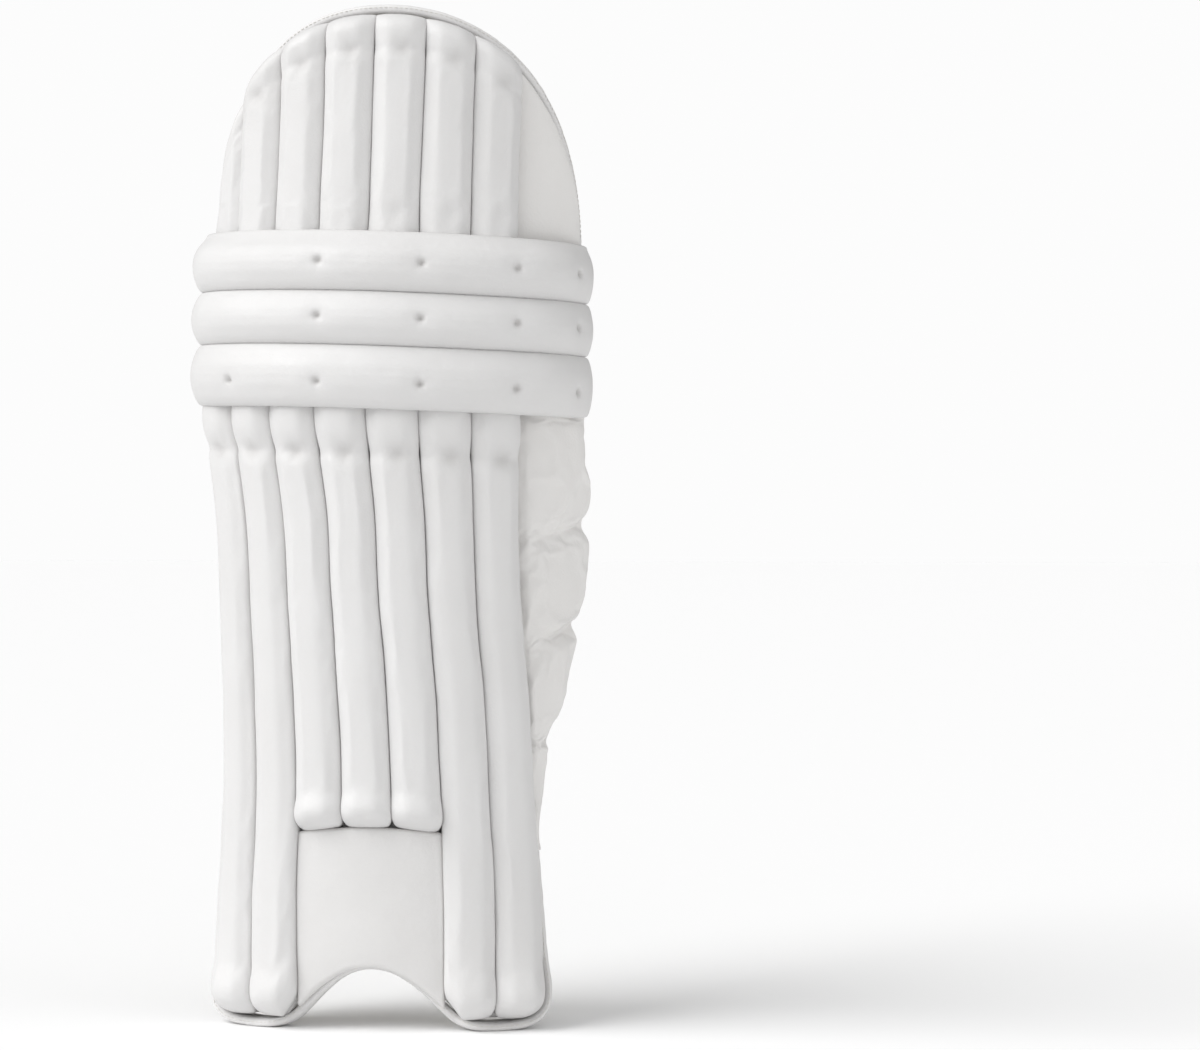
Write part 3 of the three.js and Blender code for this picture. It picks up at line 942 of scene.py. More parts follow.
    def stitches(
        self, paths: Sequence[Sequence[Vector]], pitch: float, name: str, slot: Slot, radius: float = 0.3
    ) -> bpy.types.Object:
        """Lay runs of thread stitches along some paths.

        Args:
            paths: Each of points in metres, in order.
            pitch: From one stitch to the next, in millimetres.
            name: The piece's name.
            slot: The record's slot for its finish.
            radius: Of the thread, in millimetres.

        Returns:
            The new object.
        """
        bm = bmesh.new()
        step = pitch * MM
        for path in paths:
            due = step / 2
            for start, end in zip(path, path[1:]):
                run = end - start
                while due <= run.length and run.length > 0:
                    along = run.normalized()
                    turn = Vector((0, 0, 1)).rotation_difference(along).to_matrix().to_4x4()
                    made = bmesh.ops.create_icosphere(bm, subdivisions=1, radius=1.0)["verts"]
                    half = step * self.stitch_half
                    bmesh.ops.scale(bm, verts=made, vec=(radius * MM, radius * MM, half))
                    bmesh.ops.transform(bm, verts=made, matrix=turn)
                    bmesh.ops.translate(bm, verts=made, vec=start + along * due)
                    due += step
                due -= run.length
        return self.piece(bm, name, slot, [self.finishes.thread])


# A rib's section: share of the way round from the crest, then side and rise in shares
RIB_SECTION: tuple[Row, ...] = (
    (0.0, 0.0, 1.0),
    (0.125, 0.32, 0.993),
    (0.19, 0.475, 0.967),
    (0.25, 0.6, 0.917),
    (0.31, 0.72, 0.855),
    (0.375, 0.84, 0.795),
    (0.43, 0.94, 0.735),
    (0.475, 1.01, 0.67),
    (0.51, 1.035, 0.6),
    (0.56, 1.035, 0.44),
    (0.62, 1.005, 0.2),
    (0.69, 0.99, 0.03),
    (0.75, 0.9, 0.0),
    (1.0, 0.0, 0.0),
)

# A rib's lower end, from the tip: height in shares of the foot, then width and height
FOOT_ROWS: tuple[Row, ...] = (
    (0.0, 0.9, 0.72),
    (0.1, 0.965, 0.92),
    (0.26, 1.0, 1.09),
    (0.48, 1.0, 1.14),
    (0.68, 0.99, 1.06),
    (0.84, 0.98, 0.965),
    (0.94, 0.98, 0.948),
    (1.0, 0.98, 0.95),
)

# A rib's upper end, from the shaft up: a pinch and then the collar
COLLAR_ROWS: tuple[Row, ...] = (
    (0.0, 0.98, 0.95),
    (0.13, 0.975, 0.925),
    (0.22, 0.955, 0.865),
    (0.36, 0.975, 0.935),
    (0.6, 1.0, 1.05),
    (0.84, 1.0, 1.06),
    (1.0, 1.0, 1.0),
)

# The top hat's ribs start level, under the upper roll's edge
START_ROWS: tuple[Row, ...] = (
    (0.0, 0.99, 0.955),
    (0.5, 0.985, 0.95),
    (1.0, 0.985, 0.945),
)

# The top hat's ribs narrow only a little below the dome
HAT_COLLAR_ROWS: tuple[Row, ...] = (
    (0.0, 0.985, 0.945),
    (0.13, 0.98, 0.935),
    (0.24, 0.97, 0.91),
    (0.4, 0.98, 0.945),
    (0.65, 0.995, 0.985),
    (0.85, 1.0, 0.99),
    (1.0, 1.0, 0.98),
)


@dataclass
class Rib:
    """One upright padded rib between two edges that depend on where it lies."""

    name: str
    number: int
    low: Callable[[float], float]
    high: Callable[[float], float]
    lower_rows: tuple[Row, ...]
    lower_length: float
    stations: int
    size_share: float = 1.0
    flare: float = 0.0
    foot_radius: float = 17.0
    foot_least: float = 0.4
    wander: float = 0.5
    edge: Callable[[float, float], float] | None = None
    edge_radius: float = 13.0
    collar_rows: tuple[Row, ...] = COLLAR_ROWS
    collar_length: float = 44.0
    pinch: float = 1.0
    pinch_place: float = 0.78
    pinch_side: float = 0.2
    pinch_bowl: Row = (2.2, 7.5)
    pinch_stitch: Row = (1.2, 3.5)
    fan_depth: float = 0.25
    fan_radius: float = 7.0
    fan_width: float = 4.0
    fan_spokes: int = 5
    # painted shade round the pinch: its strength and its radius
    pinch_shade: float = 0.6
    pinch_shade_radius: float = 6.5
    low_pinch: float = 0.0
    low_bowl: Row = (1.8, 6.0)
    pitch: float = 34.0
    height: float = 22.0
    gap: float = 0.35
    swell: float = 0.02
    spread_least: float = 0.3
    spread_height: float = 26.0
    # where the painted shade in the grooves beside the rib starts and is full, in shares of the way round
    seam_span: Row = (0.48, 0.64)
    sewn_share: float = 0.44
    pin_radius: float = 5.0
    segments: int = 32

    def _middle(self) -> float:
        """Return how far the rib's place is from the middle of the pad."""
        return (self.number - MIDDLE_RIB) * self.pitch

    def layout(self, stock: Vector) -> Vector:
        """Return the flat place of a point of the stock tube.

        Args:
            stock: A point of the stock mesh.

        Returns:
            s, z and n in millimetres.
        """
        along = (stock.z + 1) / 2
        pitch = self.pitch * self.size_share
        middle = self._middle() + (self.pitch - pitch) / 2
        half = (pitch - self.gap) / 2
        angle = math.atan2(stock.x, stock.y)
        inner = math.hypot(stock.x, stock.y)
        share = abs(angle) / math.pi
        side = math.copysign(read(RIB_SECTION, 1, share), angle)
        rise = read(RIB_SECTION, 2, share)
        if inner < 0.5:
            side, rise = 0.0, CAP_RISE
        wide, high, z = self._profile(along, middle + side * half)
        s = middle + side * wide * half - self._spread(side, z - self.low(middle), self.high(middle) - z)
        s += self.wander * ripple(3.0, s / 30, z / 42)
        swell = 1 + self.swell * ripple(self.number, s / 30, z / 45)
        if self.edge:
            high *= rounded(self.edge(s, z), self.edge_radius, 0.3)
        n = rise * high * self.height * self.size_share * swell
        n -= rise * self._pinch(side, z, self.high(middle))
        return Vector((s, z, FACE_GAP + max(0.0, n)))

    def _profile(self, along: float, s: float) -> tuple[float, float, float]:
        """Return the width and the height in shares, and how high up the place lies.

        Args:
            along: Share of the tube's length, from its lower end.
            s: Sideways, in millimetres.

        Returns:
            The width's share, the height's share, and the level in millimetres.
        """
        bottom, top = self.low(s), self.high(s)
        length = top - bottom
        distance = length * (0.5 - 0.5 * math.cos(math.pi * along)) * 0.35 + length * along * 0.65
        from_top = length - distance
        wide, high = self.lower_rows[-1][1], self.lower_rows[-1][2]
        if distance < self.lower_length:
            share = distance / self.lower_length
            wide, high = read(self.lower_rows, 1, share), read(self.lower_rows, 2, share)
        elif from_top < self.collar_length:
            share = 1 - from_top / self.collar_length
            wide, high = read(self.collar_rows, 1, share), read(self.collar_rows, 2, share)
        wide *= rounded(distance, self.foot_radius * 0.75, mix(0.62, 1.0, self.foot_least))
        high *= rounded(distance, self.foot_radius, self.foot_least)
        return wide, high, bottom + distance

    def _spread(self, side: float, above: float, below: float) -> float:
        """Return how far the inner side spreads out towards the lower end."""
        share = mix(1.0, self.spread_least, ease(above, 0.0, self.spread_height))
        return self.flare * (share * ease(below, 0.0, self.collar_length)) * max(0.0, -side)

    def _pinch(self, side: float, z: float, top: float) -> float:
        """Return how deep the stitch at the collar's foot pulls the cover in.

        Args:
            side: From -1 on the inner side to 1 on the outer.
            z: The height, in millimetres.
            top: Where the rib ends.

        Returns:
            Millimetres below the crest.
        """
        below = top - self.collar_length * self.pinch_place - z
        across = (side - self.pinch_side) * self.pitch / 2
        apart = math.hypot(across, below)
        core = dent(apart, self.pinch_bowl) + dent(apart, self.pinch_stitch)
        spokes = math.cos(self.fan_spokes * math.atan2(below, across) + self.number)
        fan = self.fan_depth * spokes * bell(apart - self.fan_radius, self.fan_width)
        if self.low_pinch:
            core += dent(math.hypot(across, z - self.low(0.0) - self.low_pinch), self.low_bowl)
        return self.pinch * (core + fan)

    def seam(self, stock: Vector, flat: Vector) -> float:
        """Return how deep in its seams, or in its pinch, a point of the stock tube is, for the painted shade
        there.

        Args:
            stock: A point of the stock mesh.
            flat: Its flat place.

        Returns:
            1 in a seam, 0 away from it.
        """
        share = abs(math.atan2(stock.x, stock.y)) / math.pi
        # painted shade round the pinch, on the front half only
        near = bell(self._from_pinch(flat), self.pinch_shade_radius) if share < 0.5 else 0.0
        # painted shade deep in the grooves, or round the pinch
        return max(ease(share, *self.seam_span), self.pinch_shade * near)

    def _from_pinch(self, flat: Vector) -> float:
        """Return how far a flat point is from the middle of the rib's pinch.

        Args:
            flat: The point, in millimetres.

        Returns:
            Millimetres.
        """
        middle = self._middle()
        below = self.high(middle) - self.collar_length * self.pinch_place - flat.y
        return math.hypot(flat.x - middle - self.pinch_side * self.pitch / 2, below)

    def pin(self, stock: Vector, flat: Vector) -> float:
        """Return how firmly a point is sewn down.

        Args:
            stock: A point of the stock mesh.
            flat: Its flat place.

        Returns:
            1 where it is sewn fast, 0 where it is free.
        """
        share = abs(math.atan2(stock.x, stock.y)) / math.pi
        if share > self.sewn_share or abs(stock.z) > TUBE_END:
            return 1.0
        return bell(self._from_pinch(flat), self.pin_radius)

    def build(self, workshop: Workshop) -> bpy.types.Object:
        """Make the rib.

        Args:
            workshop: Makes the pieces.

        Returns:
            The new object.
        """
        bm = workshop.tube(self.segments, self.stations)
        workshop.lay(bm, self.layout, workshop.form.drape, self.seam, self.pin)
        return workshop.piece(
            bm,
            f"padded_{self.name}",
            Slot.FACING,
            [workshop.finishes.facing],
            self.name,
            fill=0.8,
            filling=Filling(reach=0.7, growth=0.003),
        )


@dataclass
class ShinRibs:
    """Seven ribs down the shin, of which the middle three stop above the instep panel."""

    outlines: Outlines
    short: tuple[int, ...] = (3, 4, 5)
    foot_clearance: float = 0.8
    foot_length: float = 40.0
    short_foot_length: float = 30.0
    tuck: float = 3.0

    def build(self, workshop: Workshop) -> list[bpy.types.Object]:
        """Make the seven ribs.

        Args:
            workshop: Makes the pieces.

        Returns:
            The new objects.
        """
        lines = self.outlines

        def over_binding(s: float) -> float:
            """Return the height where a long rib starts over the tape."""
            return lines.sole_edge(s) + lines.binding_depth + self.foot_clearance

        def over_panel(s: float) -> float:
            """Return the height where a short rib starts over the instep panel."""
            return lines.instep_top(s) + lines.seam_gap

        def under_roll(s: float) -> float:
            """Return the height where a rib ends, tucked under the lower roll."""
            return lines.under_rolls(lines.form.line(s, lines.roll_base)) + self.tuck

        made = []
        for number in range(1, 8):
            short = number in self.short
            rib = Rib(
                f"shin_rib_{number}",
                number,
                over_panel if short else over_binding,
                under_roll,
                FOOT_ROWS,
                self.short_foot_length if short else self.foot_length,
                stations=84 if short else 104,
            )
            made.append(rib.build(workshop))
        return made


@dataclass
class TopHatRibs:
    """Seven ribs above the knee, cut to the dome."""

    outlines: Outlines
    dome_margin: float = 0.6
    first_share: float = 0.8
    first_flare: float = 7.0
    start_length: float = 22.0
    collar_length: float = 33.0
    under_flange: float = 0.6
    measured_height: float = 673.0
    low_pinch: float = 15.0

    def build(self, workshop: Workshop) -> list[bpy.types.Object]:
        """Make the seven ribs.

        Args:
            workshop: Makes the pieces.

        Returns:
            The new objects.
        """
        lines = self.outlines
        inset = lines.binding_depth + self.dome_margin

        def over_roll(s: float) -> float:
            """Return the height where a rib starts, under the upper roll's edge."""
            return lines.over_rolls(lines.form.line(s, lines.roll_top)) - self.under_flange

        def under_dome(s: float) -> float:
            """Return the height where a rib ends under the dome's tape."""
            place = lines.form.line(s, self.measured_height)
            return lines.dome_top(place, inset) - lines.seam_gap

        def from_dome(s: float, z: float) -> float:
            """Return how far a place on a rib is from the dome's tape.

            Args:
                s: Sideways, in millimetres.
                z: The height.

            Returns:
                Millimetres, square to the dome's edge.
            """
            place = lines.form.line(s, z)
            slope = (lines.dome_top(place + 1, inset) - lines.dome_top(place - 1, inset)) / 2
            return (lines.dome_top(place, inset) - z) / math.hypot(1, slope)

        made = []
        for number in range(1, 8):
            first = number == 1
            rib = Rib(
                f"top_hat_rib_{number}",
                number,
                over_roll,
                under_dome,
                START_ROWS,
                self.start_length,
                stations=60,
                size_share=self.first_share if first else 1.0,
                flare=self.first_flare if first else 0.0,
                foot_least=1.0,
                collar_rows=HAT_COLLAR_ROWS,
                collar_length=self.collar_length,
                pinch=0.0 if first else 0.8,
                # painted shade round every pinch but the first rib's
                pinch_shade=0.0 if first else 0.5,
                wander=0.7,
                low_pinch=self.low_pinch if number > MIDDLE_RIB else 0.0,
                edge=from_dome,
            )
            made.append(rib.build(workshop))
        return made


# A knee roll's section: share of the way round from the crest, then side and rise in shares
ROLL_SECTION: tuple[Row, ...] = (
    (0.0, 0.0, 1.0),
    (0.1, 0.31, 0.978),
    (0.19, 0.6, 0.915),
    (0.26, 0.8, 0.853),
    (0.32, 0.94, 0.785),
    (0.36, 1.01, 0.73),
    (0.4, 1.035, 0.65),
    (0.48, 1.035, 0.5),
    (0.6, 1.0, 0.22),
    (0.68, 0.97, 0.04),
    (0.75, 0.8, 0.0),
    (1.0, 0.0, 0.0),
)

# The half of a roll that runs out over the ribs above it
FLANGE_SECTION: tuple[Row, ...] = (
    (0.0, 0.0, 1.0),
    (0.1, 0.3, 0.974),
    (0.2, 0.58, 0.895),
    (0.28, 0.79, 0.795),
    (0.35, 0.94, 0.705),
    (0.4, 1.03, 0.655),
    (0.44, 1.1, 0.625),
    (0.48, 1.18, 0.6),
    (0.51, 1.2, 0.56),
    (0.54, 1.12, 0.5),
    (0.58, 1.0, 0.4),
    (0.62, 1.0, 0.22),
    (0.68, 0.97, 0.04),
    (0.75, 0.8, 0.0),
    (1.0, 0.0, 0.0),
)

# A knee roll along its length from the inner end: height, then thickness, in shares
ROLL_ROWS: tuple[Row, ...] = (
    (0.0, 0.8, 0.4),
    (0.02, 0.94, 0.64),
    (0.06, 0.99, 0.87),
    (0.13, 1.0, 0.98),
    (0.2, 1.0, 1.0),
    (0.8, 1.0, 1.0),
    (0.88, 1.0, 0.9),
    (0.95, 0.985, 0.67),
    (0.985, 0.95, 0.48),
    (1.0, 0.88, 0.32),
)


@dataclass
class KneeRoll:
    """One tufted roll across the knee."""

    outlines: Outlines
    name: str
    number: int
    base: float
    height: float
    thickness: float = 36.0
    tufts: tuple[float, ...] = (0.385, 0.577, 0.759, 0.911)
    tuft_level: float = 0.5
    tuft_bowl: Row = (1.5, 7.5)
    tuft_stitch: Row = (5.5, 1.8)
    # radius of the painted shade round each tuft
    tuft_painted_shade: float = 2.6
    tuft_pin: float = 3.2
    fan_depth: float = 0.12
    fan_radius: float = 5.5
    fan_width: float = 3.5
    fan_spokes: int = 5
    side_gap: float = 0.15
    free_rise: float = 0.3
    wander: float = 0.35
    # where the painted shade in the seams between the rolls starts and is full
    seam_span: Row = (0.42, 0.56)
    sewn_share: float = 0.34
    # radius and least share of the inner and the outer end, in height and then in thickness
    ends: tuple[tuple[Row, Row], ...] = (((5.0, 0.75), (4.0, 0.8)), ((7.0, 0.4), (5.0, 0.45)))
    ribs_above: bool = False
    segments: int = 56
    stations: int = 190

    def _tuft_points(self) -> list[tuple[float, float]]:
        """Return each tuft's place along the roll and across it, in millimetres."""
        return [(place * self.outlines.roll_reach(), self.tuft_level) for place in self.tufts]

    def _size(self, column: int, along: float) -> float:
        """Return the roll's height or thickness, in shares of its own.

        Args:
            column: Of the rows: 1 for the height, 2 for the thickness.
            along: Share of the roll's length, from its inner end.

        Returns:
            A share, rounded off at both ends.
        """
        reach = self.outlines.roll_reach()
        inner, outer = self.ends[column - 1]
        full = read(ROLL_ROWS, column, along)
        return full * rounded(along * reach, *inner) * rounded((1 - along) * reach, *outer)

    def _round(self, stock: Vector) -> tuple[float, float]:
        """Return the side and rise of the section at a stock point.

        Args:
            stock: A point of the stock mesh.

        Returns:
            Each in shares of its own size.
        """
        if math.hypot(stock.x, stock.y) < 0.5:
            return 0.0, CAP_RISE
        angle = math.atan2(stock.x, stock.y)
        share = abs(angle) / math.pi
        section = FLANGE_SECTION if self.ribs_above and angle < 0 else ROLL_SECTION
        return math.copysign(read(section, 1, share), angle), read(section, 2, share)

    def layout(self, stock: Vector) -> Vector:
        """Return the flat place of a point of the stock tube.

        Args:
            stock: A point of the stock mesh.

        Returns:
            s, z and n in millimetres.
        """
        lines = self.outlines
        along = (stock.z + 1) / 2
        side, rise = self._round(stock)
        crest = self.height / 2
        s = mix(lines.roll_inner, lines.roll_outer, along)
        across = -side * self._size(1, along) * (crest - self.side_gap)
        z = self.base + crest - lines.roll_sag(s) + across
        n = rise * self._size(2, along) * self.thickness
        if rise > self.free_rise:
            n -= self._tuft_depth(along * lines.roll_reach(), across)
            n += self.wander * ripple(self.number + 20, s / 26, across / 16)
        return Vector((s, z, FACE_GAP + max(0.0, n)))

    def _tuft_depth(self, along: float, across: float) -> float:
        """Return how far the tufting thread pulls the cover in.

        Args:
            along: From the roll's inner end, in millimetres.
            across: Up from its crest, in millimetres.

        Returns:
            Millimetres.
        """
        depth = 0.0
        for number, (place, level) in enumerate(self._tuft_points()):
            run, rise = along - place, across - level
            apart = math.hypot(run, rise)
            depth += dent(apart, self.tuft_bowl) + dent(apart, self.tuft_stitch)
            spokes = math.cos(self.fan_spokes * math.atan2(rise, run) + 2 * number + self.number)
            depth += self.fan_depth * spokes * bell(apart - self.fan_radius, self.fan_width)
        return depth

    def seam(self, stock: Vector, flat: Vector) -> float:
        """Return how deep in its seams, or in a tuft, a stock point is, for the painted shade there.

        Args:
            stock: A point of the stock mesh.
            flat: Its flat place.

        Returns:
            1 in a seam, 0 away from it.
        """
        share = abs(math.atan2(stock.x, stock.y)) / math.pi
        side, rise = self._round(stock)
        along = (stock.z + 1) / 2 * self.outlines.roll_reach()
        across = -side * self.height / 2
        nearest = min(math.hypot(along - p, across - q) for p, q in self._tuft_points())
        # painted shade round each tuft, on the padded face only
        near = bell(nearest, self.tuft_painted_shade) if rise > self.free_rise else 0.0
        return max(ease(share, *self.seam_span), near)

    def pin(self, stock: Vector, flat: Vector) -> float:
        """Return how firmly a point is sewn down.

        Args:
            stock: A point of the stock mesh.
            flat: Its flat place.

        Returns:
            1 where it is sewn fast, 0 where it is free.
        """
        share = abs(math.atan2(stock.x, stock.y)) / math.pi
        if share > self.sewn_share or abs(stock.z) > TUBE_END:
            return 1.0
        lines = self.outlines
        along = flat.x - lines.roll_inner
        across = flat.y - (self.base + self.height / 2 - lines.roll_sag(flat.x))
        nearest = min(math.hypot(along - p, across - q) for p, q in self._tuft_points())
        return 1.0 if nearest < self.tuft_pin else 0.0

    def build(self, workshop: Workshop) -> bpy.types.Object:
        """Make the roll.

        Args:
            workshop: Makes the pieces.

        Returns:
            The new object.
        """
        bm = workshop.tube(self.segments, self.stations)
        workshop.lay(bm, self.layout, workshop.form.wrap, self.seam, self.pin)
        return workshop.piece(
            bm,
            f"padded_{self.name}",
            Slot.FACING,
            [workshop.finishes.facing],
            self.name,
            fill=0.75,
            filling=Filling(reach=1.1),
        )


@dataclass
class KneeRolls:
    """The three rolls, from the lowest up."""

    outlines: Outlines
    heights: tuple[float, ...] = (43.0, 37.5, 39.0)
    names: tuple[str, ...] = ("knee_roll_lower", "knee_roll_middle", "knee_roll_upper")
    extra_tuft: float = 0.19
    lower_tuft_level: float = -4.5

    def build(self, workshop: Workshop) -> list[bpy.types.Object]:
        """Make the three rolls.

        Args:
            workshop: Makes the pieces.

        Returns:
            The new objects.
        """
        made = []
        base = self.outlines.roll_base
        for number, (name, height) in enumerate(zip(self.names, self.heights)):
            roll = KneeRoll(self.outlines, name, number, base, height)
            roll.ribs_above = number == len(self.names) - 1
            if number == 0:
                roll.tufts = (self.extra_tuft, *roll.tufts)
                roll.tuft_level = self.lower_tuft_level
            made.append(roll.build(workshop))
            base += height
        return made


def pillow(share: float, sharpness: float) -> float:
    """Return a padded panel's rise across a span, from 0 at its edges to 1 over the middle."""
    return math.sqrt(max(0.0, 1 - abs(2 * share - 1) ** sharpness))


@dataclass
class InstepPanel:
    """The plain soft panel over the instep, with a hem that hangs in front of the arch's tape."""

    outlines: Outlines
    thickness: float = 12.0
    rim: float = 0.78
    sharpness: float = 7.0
    overlap: float = 0.5
    tuck: float = 1.8
    hem: float = 1.0
    hem_flank: float = 2.2
    hem_roll: float = 0.9
    clearance: float = 1.4
    wander: float = 0.35

    def _low(self, s: float, depth: float) -> float:
        """Return the height of the panel's lower edge, which runs down over the binding in front.

        Args:
            s: Sideways, in millimetres.
            depth: From 0 at the panel's underside to 1 at its face.

        Returns:
            The height there.
        """
        lines = self.outlines
        turn = math.pi * s / lines.arch_width
        slope = lines.arch_height / lines.arch_width * math.pi * math.sin(turn)
        flank = self.hem_flank * abs(s) / lines.panel_half
        hem = self.hem + flank + self.hem_roll * ease(depth, 0.7, 1.0)
        above = mix(lines.binding_depth + lines.seam_gap, hem, ease(depth, 0.05, 0.45))
        return lines.sole_edge(s) + above * math.hypot(1, slope)

    def layout(self, stock: Vector) -> Vector:
        """Return the flat place of a point of the stock slab.

        Args:
            stock: A point of the stock mesh.

        Returns:
            s, z and n in millimetres.
        """
        half = self.outlines.panel_half + self.overlap
        s = stock.x * half
        up = (stock.z + 1) / 2
        depth = (stock.y + 1) / 2
        z = mix(self._low(s, depth), self.outlines.instep_top(s) + self.tuck, up)
        crown = pillow((stock.x + 1) / 2, self.sharpness) * pillow(up, self.sharpness)
        n = self.thickness * mix(self.rim, 1.0, crown)
        n += self.wander * crown * ripple(41, s / 24, z / 24)
        clear = self.clearance * ease(depth, 0.05, 0.2)
        return Vector((s, z, FACE_GAP + clear + (n - clear) * depth))

    def seam(self, stock: Vector, flat: Vector) -> float:
        """Return how deep in its seams a stock point is, for the painted shade along the panel's sides and
        top.
        """
        return ease(max(abs(stock.x), stock.z), 0.985, 1.0)

    def pin(self, stock: Vector, flat: Vector) -> float:
        """Return how firmly a point is sewn down."""
        return 1.0 if stock.y < 0.5 or max(abs(stock.x), abs(stock.z)) > 0.98 else 0.0

    def build(self, workshop: Workshop) -> list[bpy.types.Object]:
        """Make the panel.

        Args:
            workshop: Makes the pieces.

        Returns:
            The new objects.
        """
        bm = workshop.slab(56, 48, 6)
        workshop.lay(bm, self.layout, workshop.form.drape, self.seam, self.pin)
        panel = workshop.piece(
            bm,
            "padded_instep_panel",
            Slot.SOFT_PANEL,
            [workshop.finishes.soft],
            "instep_panel",
            fill=0.5,
            filling=Filling(reach=0.8, pressure=3.0),
        )
        return [panel]


# The side wing from its top down to its tail: number, heights at the ribs and at the free edge,
# reach and puff, in shares
WING_ROWS: tuple[Row, ...] = tuple(
    (float(number), *row)
    for number, row in enumerate(
        (
            (1, 1, 0.8, 0.5),
            (0.93, 0.925, 0.79, 0.75),
            (0.895, 0.885, 0.79, 0.85),
            (0.83, 0.83, 0.84, 0.95),
            (0.76, 0.775, 0.91, 1),
            (0.69, 0.73, 0.935, 0.85),
            (0.65, 0.69, 0.84, 0.2),
            (0.61, 0.65, 0.935, 0.75),
            (0.56, 0.6, 0.9, 1),
            (0.49, 0.54, 0.83, 0.95),
            (0.445, 0.505, 0.75, 0.7),
            (0.415, 0.478, 0.655, 0.2),
            (0.385, 0.445, 0.69, 0.7),
            (0.335, 0.375, 0.585, 0.95),
            (0.28, 0.31, 0.45, 0.85),
            (0.245, 0.255, 0.29, 0.5),
            (0.225, 0.23, 0.235, 0.2),
            (0.2, 0.205, 0.24, 0.45),
            (0.12, 0.12, 0.165, 0.5),
            (0.05, 0.05, 0.1, 0.45),
            (0, 0, 0.09, 0.3),
        )
    )
)


@dataclass
class SideWing:
    """The quilted wing down the outer side, with its puckers and its tail."""

    outlines: Outlines
    width: float = 85.0
    puff: float = 8.0
    flat_share: float = 0.06
    edge_bulge: float = 2.2
    wander: float = 0.9
    # each pucker's row, and the millimetres from one row to the next there
    puckers: tuple[Row, ...] = ((6.0, 12.0), (11.0, 11.0), (16.0, 8.0))
    pucker_reach: float = 45.0
    pucker_start: float = 3.0
    groove: Row = (3.2, 4.5)
    dimple: Row = (2.2, 5.5)
    # each crease's turn from a pucker, its length and its height
    creases: tuple[Row, ...] = (
        (-0.15, 20.0, 2.6),
        (0.45, 17.0, 2.2),
        (-0.75, 15.0, 1.6),
        (1.1, 13.0, 1.4),
    )
    crease_width: float = 2.4
    sewn_rows: float = 0.12
    across_steps: int = 30
    steps: int = 150

    def layout(self, stock: Vector) -> Vector:
        """Return the flat place of a point of the stock slab.

        Args:
            stock: A point of the stock mesh.

        Returns:
            s, z and n in millimetres.
        """
        lines = self.outlines
        top = lines.backing_joint - lines.seat_gap
        start = lines.ribs_half + lines.edge_margin + lines.seam_gap
        row = (1 - stock.z) / 2 * (len(WING_ROWS) - 1)
        share = (stock.x + 1) / 2
        inner, outer = read(WING_ROWS, 1, row), read(WING_ROWS, 2, row)
        reach, puff = read(WING_ROWS, 3, row), max(0.0, read(WING_ROWS, 4, row))
        z = mix(lines.wing_low, top, mix(inner, outer, share))
        depth = (stock.y + 1) / 2
        bulge = self.edge_bulge * math.sin(math.pi * depth) * ease(share, 0.85, 1.0)
        s = start + share * reach * self.width + bulge
        crown = pillow(max(0.0, share - self.flat_share) / (1 - self.flat_share), 3.0)
        front = self.puff * puff * crown + self._creases(share * reach * self.width, row, share)
        return Vector((s, z, mix(-lines.backing_thickness, front, depth)))

    def _creases(self, across: float, row: float, share: float) -> float:
        """Return the height of the creases that run out from the puckers.

        Args:
            across: From the ribs, in millimetres.
            row: Down the wing's rows.
            share: Of the way from the ribs to the free edge.

        Returns:
            Millimetres above the padded face.
        """
        height = self.wander * ripple(61, across / 22, row * 0.7)
        out = across - self.pucker_start
        for pucker, per_row in self.puckers:
            down = (row - pucker) * per_row
            if abs(down) > self.pucker_reach:
                continue
            height -= dent(down, self.groove) * ease(share, 0.35, 0.95)
            for turn, reach, rise in self.creases:
                run = out * math.cos(turn) + down * math.sin(turn)
                off = down * math.cos(turn) - out * math.sin(turn)
                taper = ease(run, 0.0, 5.0) * (1 - ease(run, reach / 2, reach))
                height += rise * taper * bell(off, self.crease_width)
            height -= dent(math.hypot(out, down), self.dimple)
        return height * ease(1 - share, 0.0, 0.04) * ease(share, 0.0, 0.03)

    def seam(self, stock: Vector, flat: Vector) -> float:
        """Return how deep in its seams a stock point is: painted shade along the edge by the ribs, and a
        little over the back.
        """
        share = (stock.x + 1) / 2
        return max(1 - ease(share, 0.0, 0.06), 0.0) if stock.y > -0.5 else 0.3

    def pin(self, stock: Vector, flat: Vector) -> float:
        """Return how firmly a point is sewn down.

        Args:
            stock: A point of the stock mesh.
            flat: Its flat place.

        Returns:
            1 where it is sewn fast, 0 where it is free.
        """
        row = (1 - stock.z) / 2 * (len(WING_ROWS) - 1)
        share = (stock.x + 1) / 2
        if stock.y < 0.9 or share < 0.02 or share > 0.98 or abs(stock.z) > 0.99:
            return 1.0
        from_pucker = min(abs(row - pucker) for pucker, _ in self.puckers)
        return 1.0 if from_pucker < self.sewn_rows and share > 0.5 else 0.0

    def build(self, workshop: Workshop) -> list[bpy.types.Object]:
        """Make the wing.

        Args:
            workshop: Makes the pieces.

        Returns:
            The new objects.
        """
        bm = workshop.slab(self.across_steps, self.steps, 6)
        workshop.lay(bm, self.layout, workshop.form.drape, self.seam, self.pin)
        wing = workshop.piece(
            bm,
            "padded_side_wing",
            Slot.SOFT_PANEL,
            [workshop.finishes.plain],
            "side_wing",
            fill=0.6,
            filling=Filling(reach=2.2, growth=0.04),
        )
        return [wing]


